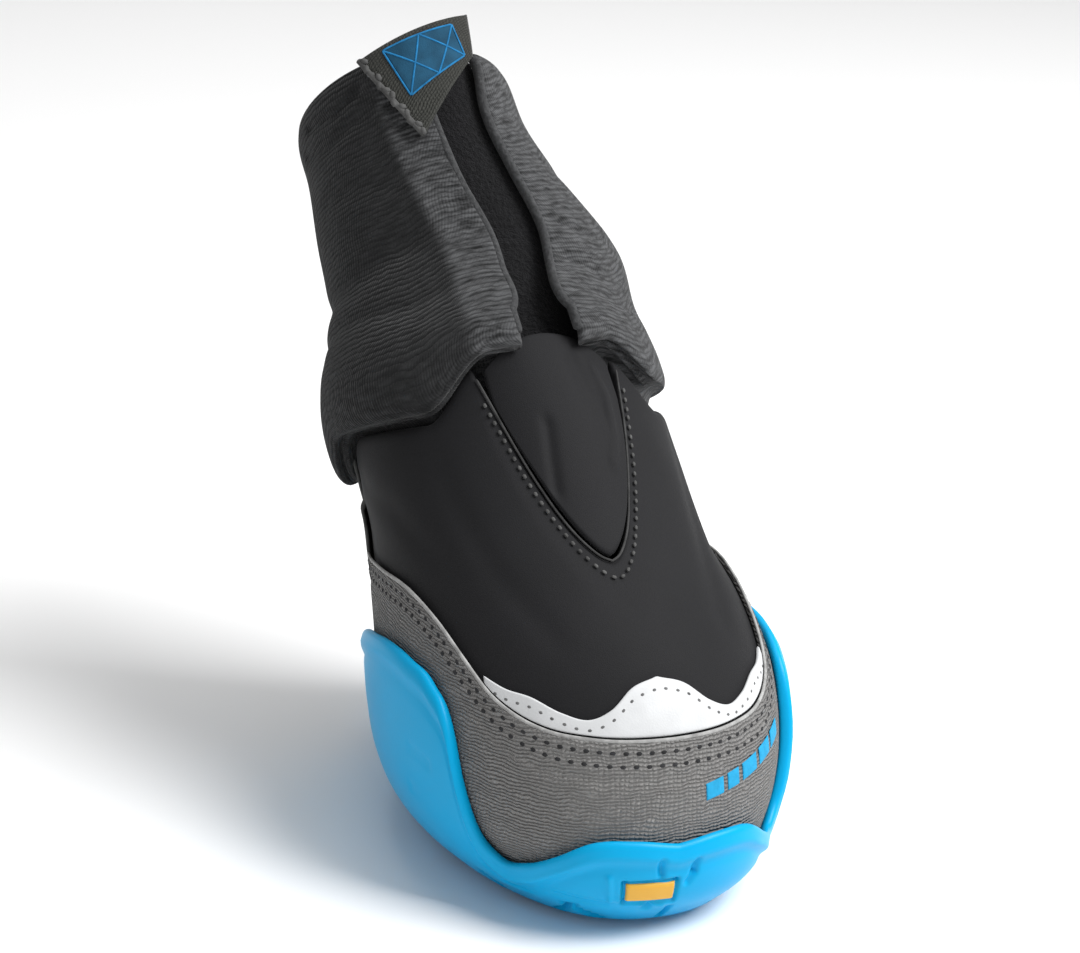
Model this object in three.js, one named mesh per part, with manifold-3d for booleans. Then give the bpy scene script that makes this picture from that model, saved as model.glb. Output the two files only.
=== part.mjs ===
// A dog boot: a blue rubber cup sole, a soft padded upper with a grey band, a knit sleeve
// with a front slit, and a dark tab over the collar.
// Millimetres, +Z up, toe toward -Y. The origin is the middle of the flat spot under the
// ball of the foot. Every curved piece is cut from one form, the last, at its own offset.
import * as THREE from 'three';
import Module from 'manifold-3d';

const wasm = await Module();
wasm.setup();

// Driving sizes
const SOLE_LENGTH = 95;
const BALL_WIDTH = 70;
const COLLAR_HEIGHT = 126;
const BALL_SPOT = 47;

// Walls and clearances
const GAP = 0.3;
const UPPER_WALL = 2;
const BAND_WALL = 1;
const TRIM_WALL = 0.6;
const GUSSET_WALL = 1.2;
const KNIT_WALL = 2;
const STRIP_WALL = 1.2;
const TAB_WALL = 1.6;
const RUBBER_WALL = 1.8;
const INSOLE_WALL = 1.5;
const TREAD_DEPTH = 1.6;
const GROOVE_WIDTH = 1;

// Sections of the last. Station 0 is the sole edge, 1 the ankle, 2 the collar.
// front, back: distance from the toe tip, in sole lengths. frontZ, backZ: height, in collar
// heights. half: half width, in ball widths. side: sideways lean, in ball widths.
// sole: 1 follows the outline of the sole, 0 is an oval. bow: widest part forward of middle.
const SECTION_COLUMNS = ['v', 'front', 'frontZ', 'back', 'backZ', 'half', 'side', 'sole', 'bow'];
const SECTIONS = [
  [0.00, 0.068, 0.033, 0.953, 0.033, 0.326, 0.008, 1.00, 0.20],
  [0.07, 0.024, 0.068, 0.961, 0.068, 0.382, 0.002, 0.90, 0.20],
  [0.16, 0.005, 0.115, 0.968, 0.115, 0.418, -0.006, 0.70, 0.20],
  [0.27, 0.006, 0.174, 0.975, 0.174, 0.437, -0.009, 0.50, 0.18],
  [0.38, 0.023, 0.238, 0.977, 0.230, 0.438, -0.014, 0.30, 0.16],
  [0.49, 0.061, 0.301, 0.975, 0.278, 0.430, -0.022, 0.15, 0.14],
  [0.60, 0.130, 0.365, 0.968, 0.318, 0.410, -0.032, 0.00, 0.10],
  [0.71, 0.232, 0.426, 0.963, 0.357, 0.390, -0.046, 0.00, 0.06],
  [0.82, 0.347, 0.496, 0.958, 0.385, 0.388, -0.053, 0.00, 0.02],
  [0.91, 0.453, 0.574, 0.958, 0.410, 0.389, -0.061, 0.00, 0.00],
  [1.00, 0.542, 0.652, 0.966, 0.434, 0.382, -0.078, 0.00, 0.00],
  [1.15, 0.611, 0.713, 1.000, 0.492, 0.379, -0.091, 0.00, 0.00],
  [1.35, 0.695, 0.787, 1.053, 0.566, 0.371, -0.089, 0.00, 0.00],
  [1.55, 0.768, 0.861, 1.100, 0.639, 0.322, -0.145, 0.00, 0.00],
  [1.75, 0.832, 0.926, 1.142, 0.705, 0.279, -0.189, 0.00, 0.00],
  [2.00, 0.900, 1.000, 1.205, 0.765, 0.262, -0.214, 0.00, 0.00],
];

// Outline of the sole seen from below: angle from the toe in degrees, half width as a share
// of the widest.
const SOLE_OUTLINE = [
  [0, 0], [10, 0.22], [20, 0.41], [40, 0.70], [60, 0.915], [80, 1], [100, 0.92],
  [112, 0.75], [122, 0.62], [135, 0.56], [150, 0.52], [162, 0.49], [171, 0.38], [180, 0],
];

// Station of the rubber rim's top edge round the boot, by angle from the toe in degrees.
const RIM_EDGE = [
  [0, 0.20], [10, 0.212], [20, 0.205], [30, 0.155], [38, 0.118], [46, 0.112], [51, 0.17],
  [54, 0.265], [57, 0.39], [62, 0.455], [70, 0.48], [80, 0.485], [90, 0.465], [100, 0.43],
  [112, 0.33], [124, 0.16], [136, 0.075], [180, 0.07],
];

// Station of the grey band's top edge.
const BAND_EDGE = [
  [0, 0.435], [20, 0.437], [32, 0.445], [38, 0.458], [45, 0.485], [54, 0.545], [62, 0.595],
  [72, 0.633], [90, 0.64], [110, 0.62], [180, 0.60],
];

// Station of the bright toe trim's top edge.
const TRIM_EDGE = [
  [0, 0.55], [8, 0.531], [14, 0.494], [20, 0.474], [27, 0.482], [35, 0.503], [42, 0.508],
  [48, 0.521],
];

// Station of the throat notch's edge, by angle from the toe in degrees.
const THROAT_EDGE = [[0, 0.743], [3, 0.75], [8, 0.776], [16, 0.842], [22, 0.903], [26, 0.955]];

// Rows of the knit sleeve: station, and how far its outside stands off the last. It is tucked
// into the upper, swells over the upper's top edge and runs up to the collar.
const SLEEVE_ROWS = [
  [0.88, -2.3], [0.97, -2.3], [1.012, -2.3], [1.03, 1.0], [1.06, 3.0], [1.11, 3.8], [1.18, 2.6],
  [1.27, 0.9], [1.38, 0.2], [1.56, 0], [1.77, 0], [2.00, -0.4],
];

// Edges of the sleeve's front slit: station, angle on the right, angle on the left.
const SLIT_HALF = 15;
const SLIT_EDGES = [
  [0.88, 15, 15], [1.03, 15, 15], [1.05, 15, 15], [1.12, 11, 8.5], [1.25, 11, 9], [1.5, 14, 12],
  [1.7, 17, 12], [1.95, 24, 12], [2.00, 24.5, 12],
];

// Smooth curve through a column of a table, carried on straight past both ends.
function interpolate(table, x, column = 1) {
  const last = table.length - 1;
  const slope = (k) => (table[k + 1][column] - table[k][column]) / (table[k + 1][0] - table[k][0]);
  const tangent = (k) => {
    if (k === 0) return slope(0);
    if (k === last) return slope(last - 1);
    const before = table[k][0] - table[k - 1][0];
    const after = table[k + 1][0] - table[k][0];
    return (slope(k - 1) * after + slope(k) * before) / (before + after);
  };
  if (x < table[0][0]) return table[0][column] + (x - table[0][0]) * slope(0);
  if (x > table[last][0]) return table[last][column] + (x - table[last][0]) * slope(last - 1);
  let i = 0;
  while (i < last - 1 && x > table[i + 1][0]) i += 1;
  const step = table[i + 1][0] - table[i][0];
  const t = (x - table[i][0]) / step;
  const t2 = t * t;
  const t3 = t2 * t;
  return (2 * t3 - 3 * t2 + 1) * table[i][column] + (t3 - 2 * t2 + t) * step * tangent(i)
    + (3 * t2 - 2 * t3) * table[i + 1][column] + (t3 - t2) * step * tangent(i + 1);
}

const radians = THREE.MathUtils.degToRad;
const clamp = THREE.MathUtils.clamp;
const foldedAngle = (angle) => Math.abs(((angle + 540) % 360) - 180);
const edge = (table) => (angle) => interpolate(table, foldedAngle(angle));
const alongFoot = (distance) => distance - BALL_SPOT;

// A point of the last at an angle from the toe and a station.
function lastPoint(angle, v) {
  const s = {};
  SECTION_COLUMNS.forEach((name, column) => {
    s[name] = interpolate(SECTIONS, clamp(v, 0, 2.5), column);
  });
  const turn = radians(angle);
  const t = (1 - Math.cos(turn)) / 2;
  const oval = Math.sin(turn + s.bow * Math.sin(turn));
  const outline = Math.sign(Math.sin(turn)) * interpolate(SOLE_OUTLINE, foldedAngle(angle));
  return new THREE.Vector3(
    BALL_WIDTH * (s.half * (s.sole * outline + (1 - s.sole) * oval) + s.side),
    alongFoot(SOLE_LENGTH * (s.front + (s.back - s.front) * t)),
    COLLAR_HEIGHT * (s.frontZ + (s.backZ - s.frontZ) * t),
  );
}

// The same point moved outward along the normal of the last.
function lastOffset(angle, v, offset) {
  const station = clamp(v, 0.002, 2.4);
  const round = lastPoint(angle + 0.5, v).sub(lastPoint(angle - 0.5, v));
  const rise = lastPoint(angle, station + 0.002).sub(lastPoint(angle, station - 0.002));
  return lastPoint(angle, v).addScaledVector(round.cross(rise).normalize(), offset);
}

// Stations and angles that nested pieces share, so that their walls keep the same clearance.
const STATIONS = [0, 0.07, 0.16, 0.27, 0.38, 0.46, 0.54, 0.63, 0.73, 0.83, 0.92, 1];
const CUP_STATIONS = [0, 0.035, 0.07, 0.115, 0.16, 0.21, 0.27, 0.34, 0.42];
const mirrored = (half) => [0, ...half, 180, ...half.map((angle) => 360 - angle).reverse()];
const RING = mirrored([10, 20, 30, 40, 50, 60, 70, 80, 90, 100, 111, 122, 133, 144, 154, 163,
  171, 176]);
const CUP_RING = mirrored([10, 20, 30, 38, 46, 51, 54, 57, 62, 70, 80, 90, 100, 111, 122, 133,
  144, 154, 163, 171, 176]);

// A closed solid from a list of vertex triples and triangles, with equal points joined.
function solid(points, triangles) {
  const seen = new Map();
  const positions = [];
  const ids = points.map((p) => {
    const key = [p.x, p.y, p.z].map((value) => Math.round(value * 1e4)).join();
    if (!seen.has(key)) {
      seen.set(key, seen.size);
      positions.push(p.x, p.y, p.z);
    }
    return seen.get(key);
  });
  const corners = triangles.map((triangle) => triangle.map((corner) => ids[corner]))
    .filter(([a, b, c]) => a !== b && b !== c && a !== c).flat();
  return new wasm.Manifold(new wasm.Mesh({
    numProp: 3,
    vertProperties: new Float32Array(positions),
    triVerts: new Uint32Array(corners),
  }));
}

// Skin through closed profiles, one per angle. An open run is closed at its two ends.
function loft(profiles, isRing) {
  const count = profiles[0].length;
  const triangles = [];
  const runs = isRing ? profiles.length : profiles.length - 1;
  for (let j = 0; j < runs; j += 1) {
    const here = j * count;
    const next = ((j + 1) % profiles.length) * count;
    for (let i = 0; i < count; i += 1) {
      const k = (i + 1) % count;
      triangles.push([here + i, next + i, next + k], [here + i, next + k, here + k]);
    }
  }
  if (!isRing) {
    const end = (profiles.length - 1) * count;
    for (let i = 0; i < count / 2 - 1; i += 1) {
      const k = count - 1 - i;
      triangles.push([i, i + 1, k - 1], [i, k - 1, k]);
      triangles.push([end + i, end + k, end + k - 1], [end + i, end + k - 1, end + i + 1]);
    }
  }
  return solid(profiles.flat(), triangles);
}

// A wall between two offsets of the last, one profile per angle. turn leans the profiles: it
// gives the true angle of a profile at a station.
function wall({ angles, rows, inner, outer, turn = (angle) => angle }) {
  const side = (angle, offset) => rows(angle).map((v) => {
    const turned = turn(angle, v);
    return lastOffset(turned, v, offset(turned, v));
  });
  const profiles = angles.map((angle) => [
    ...side(angle, outer),
    ...side(angle, inner).reverse(),
  ]);
  return loft(profiles, angles === RING);
}

const fixed = (value) => () => value;
const between = (low, high) => (angle) => STATIONS.map((v) => clamp(v, low(angle), high(angle)));
const spread = (from, to, count) => Array.from({ length: count + 1 },
  (_, i) => from + ((to - from) * i) / count);
const ringFrom = (from, to) => [from, ...RING.filter((angle) => angle > from && angle < to), to];
const frontFrom = (half) => {
  const inside = RING.filter((angle) => angle > 0 && angle < half);
  return [-half, ...inside.map((angle) => -angle).reverse(), 0, ...inside, half];
};

// A block with its middle at x, y, z, turned about the vertical.
function block([width, length, height], [x, y, z], turn = 0) {
  const geometry = new THREE.BoxGeometry(width, length, height);
  geometry.rotateZ(radians(turn));
  geometry.translate(x, y, z);
  const position = geometry.attributes.position;
  const points = spread(0, position.count - 1, position.count - 1)
    .map((i) => new THREE.Vector3().fromBufferAttribute(position, Math.round(i)));
  const index = Array.from(geometry.index.array);
  const triangles = index.filter((_, i) => i % 3 === 0)
    .map((_, i) => index.slice(3 * i, 3 * i + 3));
  return solid(points, triangles);
}

// Outsole: a cup with a wavy rim, a domed pad of lugs and a smooth heel tab.
const RUBBER_INNER = GAP + BAND_WALL + GAP;
const RUBBER_OUTER = RUBBER_INNER + RUBBER_WALL;
const LIP_RISE = 0.012;
const EDGE_ROUND = 8;
const FLAT_DIP = 0.25;
const TOE_SPRING = 2.2;
const SPRING_START = 34;
const CROSS_DOME = 1.1;
const FLOOR_TOP = 3.7;
const FLOOR_SHARES = [0.94, 0.6];
const RUN_INS = [8, 3.6];
const MID_UNDERSIDE = 0.5;
const CORNER_STATION = 0.1;

// Height of the underside away from its rounded edge.
function undersideHeight(x, y) {
  const toe = Math.max(0, (SPRING_START - BALL_SPOT - y) / SPRING_START);
  return TOE_SPRING * toe * toe + CROSS_DOME * (2 * x / BALL_WIDTH) ** 2 - FLAT_DIP;
}

// The cup, with its underside raised by a lift that fades out up the side. The pad of lugs is
// the cup with no lift, cut by the tread, and the cup behind it is lifted by the tread's depth.
function cup(lift) {
  const rimStation = edge(RIM_EDGE);
  const profiles = CUP_RING.map((angle) => {
    const top = rimStation(angle);
    const inset = (v) => lift * clamp(1 - v / CORNER_STATION, 0, 1);
    const outer = (v) => lastOffset(angle, v, RUBBER_OUTER - inset(v));
    const inner = (v) => lastOffset(angle, v, RUBBER_INNER);
    const rows = CUP_STATIONS.map((v) => Math.min(v, top));
    const corner = outer(0);
    const reach = Math.hypot(corner.x, corner.y);
    const under = (share, blend) => {
      const x = corner.x * share;
      const y = corner.y * share;
      const z = (undersideHeight(x, y) + lift) * (1 - blend) + corner.z * blend;
      return new THREE.Vector3(x, y, z);
    };
    const floorEdge = inner(0);
    return [
      under(0, 0),
      under(MID_UNDERSIDE, 0),
      ...RUN_INS.map((run) => under(1 - run / reach, (1 - run / EDGE_ROUND) ** 2)),
      ...rows.map(outer),
      lastOffset(angle, top + LIP_RISE, (RUBBER_INNER + RUBBER_OUTER) / 2),
      ...rows.map(inner).reverse(),
      ...FLOOR_SHARES.map((share) => new THREE.Vector3(
        floorEdge.x * share, floorEdge.y * share, FLOOR_TOP)),
      new THREE.Vector3(0, 0, FLOOR_TOP),
    ];
  });
  return loft(profiles, true);
}

// Tread: grooves along and across the pad meet at nodes, by turns a star and a diamond.
const TREAD_PITCH = [14.5, 13.6];
const STAR_RAY = 9;
const DIAMOND = 5;
const PAD_END = 57.6;
const RIB_GROOVES = [57.6, 62.5];
const STEP = [72, 77];
const TALL = 40;
const BADGE = [11, 6];
const BADGE_AT = 67.5;
const ISLAND_EDGE = 1.5;

function treadCutter() {
  const [pitchX, pitchY] = TREAD_PITCH;
  const cuts = [];
  const islands = [block([BADGE[0] + 2 * ISLAND_EDGE, BADGE[1] + 2 * ISLAND_EDGE, TALL],
    [0, alongFoot(BADGE_AT), 0])];
  for (const i of [-2, -1, 0, 1, 2]) {
    const length = PAD_END + TALL / 2;
    cuts.push(block([GROOVE_WIDTH, length, TALL], [i * pitchX, alongFoot(PAD_END) - length / 2, 0]));
  }
  for (const k of [0, 1, 2, 3]) {
    cuts.push(block([2 * BALL_WIDTH, GROOVE_WIDTH, TALL], [0, -k * pitchY, 0]));
  }
  for (const distance of RIB_GROOVES) {
    cuts.push(block([2 * BALL_WIDTH, GROOVE_WIDTH, TALL], [0, alongFoot(distance), 0]));
  }
  cuts.push(block([2 * BALL_WIDTH, STEP[1] - STEP[0], TALL],
    [0, alongFoot((STEP[0] + STEP[1]) / 2), 0]));
  for (const [i, k] of [[0, 1], [-1, 2], [1, 2]]) {
    for (const turn of [45, 135]) {
      cuts.push(block([GROOVE_WIDTH, STAR_RAY, TALL], [i * pitchX, -k * pitchY, 0], turn));
    }
  }
  for (const [i, k] of [[0, 0], [0, 2], [-1, 1], [1, 1]]) {
    islands.push(block([DIAMOND, DIAMOND, TALL], [i * pitchX, -k * pitchY, 0], 45));
  }
  const join = (list) => list.reduce((sum, piece) => sum.add(piece));
  return join(cuts).subtract(join(islands));
}

// Amber inlays: a bar in the toe of the rubber and a block in the tread.
const BAR_ANGLES = [-12.4, -0.6];
const BAR_STATIONS = [0.086, 0.128];
const INLAY_DEPTH = 1;
const BADGE_TOP = 1.3;
const BADGE_RECESS = 0.2;
const BAR_CLEAR = [0.5, 0.006];

const toeBar = (grow, inner, outer) => wall({
  angles: spread(BAR_ANGLES[0] - grow[0], BAR_ANGLES[1] + grow[0], 4),
  rows: fixed([BAR_STATIONS[0] - grow[1], BAR_STATIONS[1] + grow[1]]),
  inner: fixed(inner),
  outer: fixed(outer),
});
const toePlug = toeBar([0, 0], RUBBER_OUTER - INLAY_DEPTH, RUBBER_OUTER + BADGE_RECESS);
const toePocket = toeBar(BAR_CLEAR, RUBBER_OUTER - INLAY_DEPTH - GAP, TALL / 8);
const treadPlug = block([BADGE[0], BADGE[1], BADGE_TOP - BADGE_RECESS],
  [0, alongFoot(BADGE_AT), (BADGE_TOP + BADGE_RECESS) / 2]);
const treadPocket = block([BADGE[0] + 2 * GAP, BADGE[1] + 2 * GAP, 2 * (BADGE_TOP + GAP)],
  [0, alongFoot(BADGE_AT), 0]);

const outsole = cup(0).subtract(treadCutter()).add(cup(TREAD_DEPTH))
  .subtract(block([2 * BALL_WIDTH, 2 * SOLE_LENGTH, TALL], [0, 0, -TALL / 2]))
  .subtract(toePocket)
  .subtract(treadPocket);

// Insole: a flat sheet on the cup's floor, inside the upper's wall.
const INSOLE_INSET = 3.6;
const insole = loft(RING.map((angle) => {
  const rim = lastOffset(angle, 0, -INSOLE_INSET);
  const at = (share, z) => new THREE.Vector3(rim.x * share, rim.y * share, z);
  const under = FLOOR_TOP + GAP;
  const over = under + INSOLE_WALL;
  return [at(0, under), at(1, under), at(1, over), at(0, over)];
}), true);

// Upper: one hollow wall, open below, at the ankle and at the throat notch.
const SIDE_DROP = 0.07;
const BACK_DROP = 0.13;
const upperTop = (angle) => 1
  - SIDE_DROP * THREE.MathUtils.smoothstep(foldedAngle(angle), 24, 52)
  - BACK_DROP * THREE.MathUtils.smoothstep(foldedAngle(angle), 92, 130);
const throatEdge = edge(THROAT_EDGE);
const NOTCH_HALF = 26;
const notch = wall({
  angles: spread(-NOTCH_HALF, NOTCH_HALF, 12),
  rows: (angle) => spread(throatEdge(angle), 1.1, 4),
  inner: fixed(-3 * UPPER_WALL),
  outer: fixed(3 * UPPER_WALL),
});
const upper = wall({
  angles: RING,
  rows: between(fixed(0), upperTop),
  inner: fixed(-UPPER_WALL),
  outer: fixed(0),
}).subtract(notch);

// Gusset: the soft panel that fills the throat notch and swells out of it.
const GUSSET_HALF = 25.2;
const GUSSET_SWELL = 2;
const GUSSET_RISE = 0.055;
const gussetRows = (angle) => {
  const low = throatEdge(Math.abs(angle) + 0.8) + 0.007;
  const high = 0.985 + GUSSET_RISE * Math.cos(radians(90 * angle / GUSSET_HALF));
  return spread(low, Math.max(high, low + 0.01), 7);
};
const gussetOuter = (angle, v) => {
  const across = 1 - (angle / GUSSET_HALF) ** 2;
  const rise = clamp((v - THROAT_EDGE[0][1]) / 0.3, 0, 1);
  return -GAP + GUSSET_SWELL * across * Math.sin(Math.PI * rise ** 0.8 * 0.85);
};
const gusset = wall({
  angles: spread(-GUSSET_HALF, GUSSET_HALF, 10),
  rows: gussetRows,
  inner: (angle, v) => gussetOuter(angle, v) - GUSSET_WALL,
  outer: gussetOuter,
});

// Overlays stand on the upper, a small clearance off it.
const BAND_END = 125;
const PANEL_START = 126.2;
const HEEL_PANEL_TOP = 0.76;
const SEAM_LEAN = 16;
const bandEdge = edge(BAND_EDGE);
// The seam between band and heel panel leans forward as it rises.
const seamLean = (angle, v) => SEAM_LEAN * THREE.MathUtils.smoothstep(v, 0.1, 0.65)
  * THREE.MathUtils.smoothstep(foldedAngle(angle), 90, BAND_END)
  * THREE.MathUtils.smoothstep(180 - foldedAngle(angle), 5, 180 - PANEL_START);
const leaning = (angle, v) => angle - Math.sign(Math.sin(radians(angle))) * seamLean(angle, v);
const band = wall({
  angles: frontFrom(BAND_END),
  rows: between(fixed(0.02), bandEdge),
  inner: fixed(GAP),
  outer: fixed(GAP + BAND_WALL),
  turn: leaning,
});
const heelPanel = wall({
  angles: ringFrom(PANEL_START, 360 - PANEL_START),
  rows: between(fixed(0.02), fixed(HEEL_PANEL_TOP)),
  inner: fixed(GAP),
  outer: fixed(GAP + BAND_WALL),
  turn: leaning,
});
const TRIM_HALF = 48;
const TRIM_CLEAR = 0.006;
const toeTrim = wall({
  angles: spread(-TRIM_HALF, TRIM_HALF, 20),
  rows: (angle) => spread(bandEdge(angle) + TRIM_CLEAR, edge(TRIM_EDGE)(angle), 2),
  inner: fixed(GAP),
  outer: fixed(GAP + TRIM_WALL),
});

// Knit sleeve, open at the front, and the dark closure strip behind the opening. The sleeve's
// roll over the upper is flatter on the boot's right.
const RIGHT_FLATTER = 0.45;
const STRIP_ANGLES = [-20, 28];
const STRIP_STATIONS = [0.93, 0.98, 1.012, 1.04, 1.1, 1.25, 1.5, 1.75, 2];
const sleeveDrop = (angle, v) => (upperTop(angle) - 1) * clamp(2 - v, 0, 1);
const sleeveOuter = (angle, v) => {
  const drop = upperTop(angle) - 1;
  const off = interpolate(SLEEVE_ROWS, v - drop * clamp((2 - v) / (1 - drop), 0, 1));
  const flatter = THREE.MathUtils.smoothstep(Math.sin(radians(angle)), 0.2, 0.8);
  return off > 0 ? off * (1 - RIGHT_FLATTER * flatter) : off;
};
const slitEdge = (angle, v) => interpolate(SLIT_EDGES, v, angle < 180 ? 1 : 2);
const sleeve = wall({
  angles: ringFrom(SLIT_HALF, 360 - SLIT_HALF),
  rows: (angle) => SLEEVE_ROWS.map(([v]) => v + sleeveDrop(angle, v)),
  inner: (angle, v) => sleeveOuter(angle, v) - KNIT_WALL,
  outer: sleeveOuter,
  turn: (angle, v) => 180 + (angle - 180) * (180 - slitEdge(angle, v)) / (180 - SLIT_HALF),
});
const stripOuter = (angle, v) => Math.min(sleeveOuter(angle, v), 0) - KNIT_WALL - 2 * GAP;
const strip = wall({
  angles: spread(...STRIP_ANGLES, 6),
  rows: fixed(STRIP_STATIONS),
  inner: (angle, v) => stripOuter(angle, v) - STRIP_WALL,
  outer: stripOuter,
});

// Collar tab: a four-cornered patch over the front of the collar, corners by angle and station.
const TAB_CORNERS = [[-41, 2.0], [22, 2.125], [16, 1.95], [-21, 1.66]];
const TAB_STEPS = 5;
const tab = loft(spread(0, 1, TAB_STEPS).map((s) => {
  const at = (t, offset) => {
    const [a, b, c, d] = TAB_CORNERS;
    const mix = (axis) => (a[axis] * (1 - s) + b[axis] * s) * (1 - t)
      + (d[axis] * (1 - s) + c[axis] * s) * t;
    return lastOffset(mix(0), mix(1), offset);
  };
  const steps = spread(1, 0, TAB_STEPS);
  return [...steps.map((t) => at(t, GAP + TAB_WALL)), ...steps.map((t) => at(t, GAP)).reverse()];
}), false);

const PIECES = [
  ['outsole', outsole, 0x0a86c4, 0.55],
  ['insole', insole, 0x2a2b2c, 0.95],
  ['upper', upper, 0x2b2b2e, 0.85],
  ['throat_gusset', gusset, 0x2f2f32, 0.85],
  ['mudguard', band, 0x75726d, 0.8],
  ['heel_panel', heelPanel, 0x2d2d30, 0.85],
  ['toe_trim', toeTrim, 0xd9dadb, 0.45],
  ['gaiter', sleeve, 0x48494b, 0.95],
  ['closure_strip', strip, 0x161617, 1],
  ['collar_tab', tab, 0x313230, 0.8],
  ['toe_plug', toePlug, 0xe79a1e, 0.5],
  ['tread_plug', treadPlug, 0xe79a1e, 0.5],
];

function mesh([name, form, colour, roughness]) {
  const { numProp, vertProperties, triVerts } = form.getMesh();
  const geometry = new THREE.BufferGeometry();
  geometry.setAttribute('position', new THREE.BufferAttribute(vertProperties, numProp));
  geometry.setIndex(new THREE.BufferAttribute(triVerts, 1));
  geometry.computeVertexNormals();
  const material = new THREE.MeshStandardMaterial({ color: colour, roughness, metalness: 0 });
  const piece = new THREE.Mesh(geometry, material);
  piece.name = name;
  return piece;
}

const boot = new THREE.Group();
boot.name = 'dog_boot';
PIECES.forEach((piece) => boot.add(mesh(piece)));

export default boot;
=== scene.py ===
"""Looks of a dog boot: cloth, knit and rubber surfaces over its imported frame.

Every surface is worked out on the last, the form inside the boot, from two parameters: the
angle round the boot from the toe, in degrees, and the station, 0 at the sole, 1 at the ankle
and 2 at the collar. Lengths are millimetres until a mesh is made.
"""

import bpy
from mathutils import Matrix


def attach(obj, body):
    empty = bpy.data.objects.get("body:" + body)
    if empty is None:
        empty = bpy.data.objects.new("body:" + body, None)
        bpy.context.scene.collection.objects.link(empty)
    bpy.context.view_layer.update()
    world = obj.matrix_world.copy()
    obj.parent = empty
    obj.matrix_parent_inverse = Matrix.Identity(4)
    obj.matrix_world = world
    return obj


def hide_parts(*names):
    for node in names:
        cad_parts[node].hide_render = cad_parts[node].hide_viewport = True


bl_info = {
    "name": "Dog boot",
    "version": (1, 0, 0),
    "blender": (4, 5, 0),
    "location": "3D View > Sidebar > Dog boot",
    "description": "Builds the cloth, knit and rubber of a dog boot over its frame",
    "category": "Object",
}

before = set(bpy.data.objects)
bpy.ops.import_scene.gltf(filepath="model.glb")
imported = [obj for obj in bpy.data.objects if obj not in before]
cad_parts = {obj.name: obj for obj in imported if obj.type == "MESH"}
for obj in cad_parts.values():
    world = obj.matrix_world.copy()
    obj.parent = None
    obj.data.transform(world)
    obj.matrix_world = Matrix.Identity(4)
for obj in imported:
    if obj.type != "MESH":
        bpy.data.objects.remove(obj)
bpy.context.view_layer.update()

import math

import bpy
import numpy as np
from mathutils import Matrix, Vector

MM = 0.001

# Driving sizes of the last, as the frame has them.
SOLE_LENGTH = 95.0
BALL_WIDTH = 70.0
COLLAR_HEIGHT = 126.0
BALL_SPOT = 47.0

# Sections of the last: station, front, frontZ, back, backZ, half, side, sole, bow.
SECTIONS = np.array([
    [0.00, 0.068, 0.033, 0.953, 0.033, 0.326, 0.008, 1.00, 0.20],
    [0.07, 0.024, 0.068, 0.961, 0.068, 0.382, 0.002, 0.90, 0.20],
    [0.16, 0.005, 0.115, 0.968, 0.115, 0.418, -0.006, 0.70, 0.20],
    [0.27, 0.006, 0.174, 0.975, 0.174, 0.437, -0.009, 0.50, 0.18],
    [0.38, 0.023, 0.238, 0.977, 0.230, 0.438, -0.014, 0.30, 0.16],
    [0.49, 0.061, 0.301, 0.975, 0.278, 0.430, -0.022, 0.15, 0.14],
    [0.60, 0.130, 0.365, 0.968, 0.318, 0.410, -0.032, 0.00, 0.10],
    [0.71, 0.232, 0.426, 0.963, 0.357, 0.390, -0.046, 0.00, 0.06],
    [0.82, 0.347, 0.496, 0.958, 0.385, 0.388, -0.053, 0.00, 0.02],
    [0.91, 0.453, 0.574, 0.958, 0.410, 0.389, -0.061, 0.00, 0.00],
    [1.00, 0.542, 0.652, 0.966, 0.434, 0.382, -0.078, 0.00, 0.00],
    [1.15, 0.611, 0.713, 1.000, 0.492, 0.379, -0.091, 0.00, 0.00],
    [1.35, 0.695, 0.787, 1.053, 0.566, 0.371, -0.089, 0.00, 0.00],
    [1.55, 0.768, 0.861, 1.100, 0.639, 0.322, -0.145, 0.00, 0.00],
    [1.75, 0.832, 0.926, 1.142, 0.705, 0.279, -0.189, 0.00, 0.00],
    [2.00, 0.900, 1.000, 1.205, 0.765, 0.262, -0.214, 0.00, 0.00],
])
SOLE_OUTLINE = np.array([
    [0, 0], [10, 0.22], [20, 0.41], [40, 0.70], [60, 0.915], [80, 1], [100, 0.92],
    [112, 0.75], [122, 0.62], [135, 0.56], [150, 0.52], [162, 0.49], [171, 0.38], [180, 0],
])
RIM_EDGE = np.array([
    [0, 0.20], [10, 0.212], [20, 0.205], [30, 0.155], [38, 0.118], [46, 0.112], [51, 0.17],
    [54, 0.265], [57, 0.39], [62, 0.455], [70, 0.48], [80, 0.485], [90, 0.465], [100, 0.43],
    [112, 0.33], [124, 0.16], [136, 0.075], [180, 0.07],
])
BAND_EDGE = np.array([
    [0, 0.435], [20, 0.437], [32, 0.445], [38, 0.458], [45, 0.485], [54, 0.545], [62, 0.595],
    [72, 0.633], [90, 0.64], [110, 0.62], [180, 0.60],
])
TRIM_EDGE = np.array([
    [0, 0.55], [8, 0.531], [14, 0.494], [20, 0.474], [27, 0.482], [35, 0.503], [42, 0.508],
    [48, 0.521],
])
THROAT_EDGE = np.array([
    [0, 0.743], [3, 0.75], [8, 0.776], [16, 0.842], [22, 0.903], [26, 0.955],
])
SLEEVE_ROWS = np.array([
    [0.88, -2.3], [0.97, -2.3], [1.012, -2.3], [1.03, 1.0], [1.06, 3.0], [1.11, 3.8],
    [1.18, 2.6], [1.27, 0.9], [1.38, 0.2], [1.56, 0], [1.77, 0], [2.00, -0.4],
])
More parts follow.
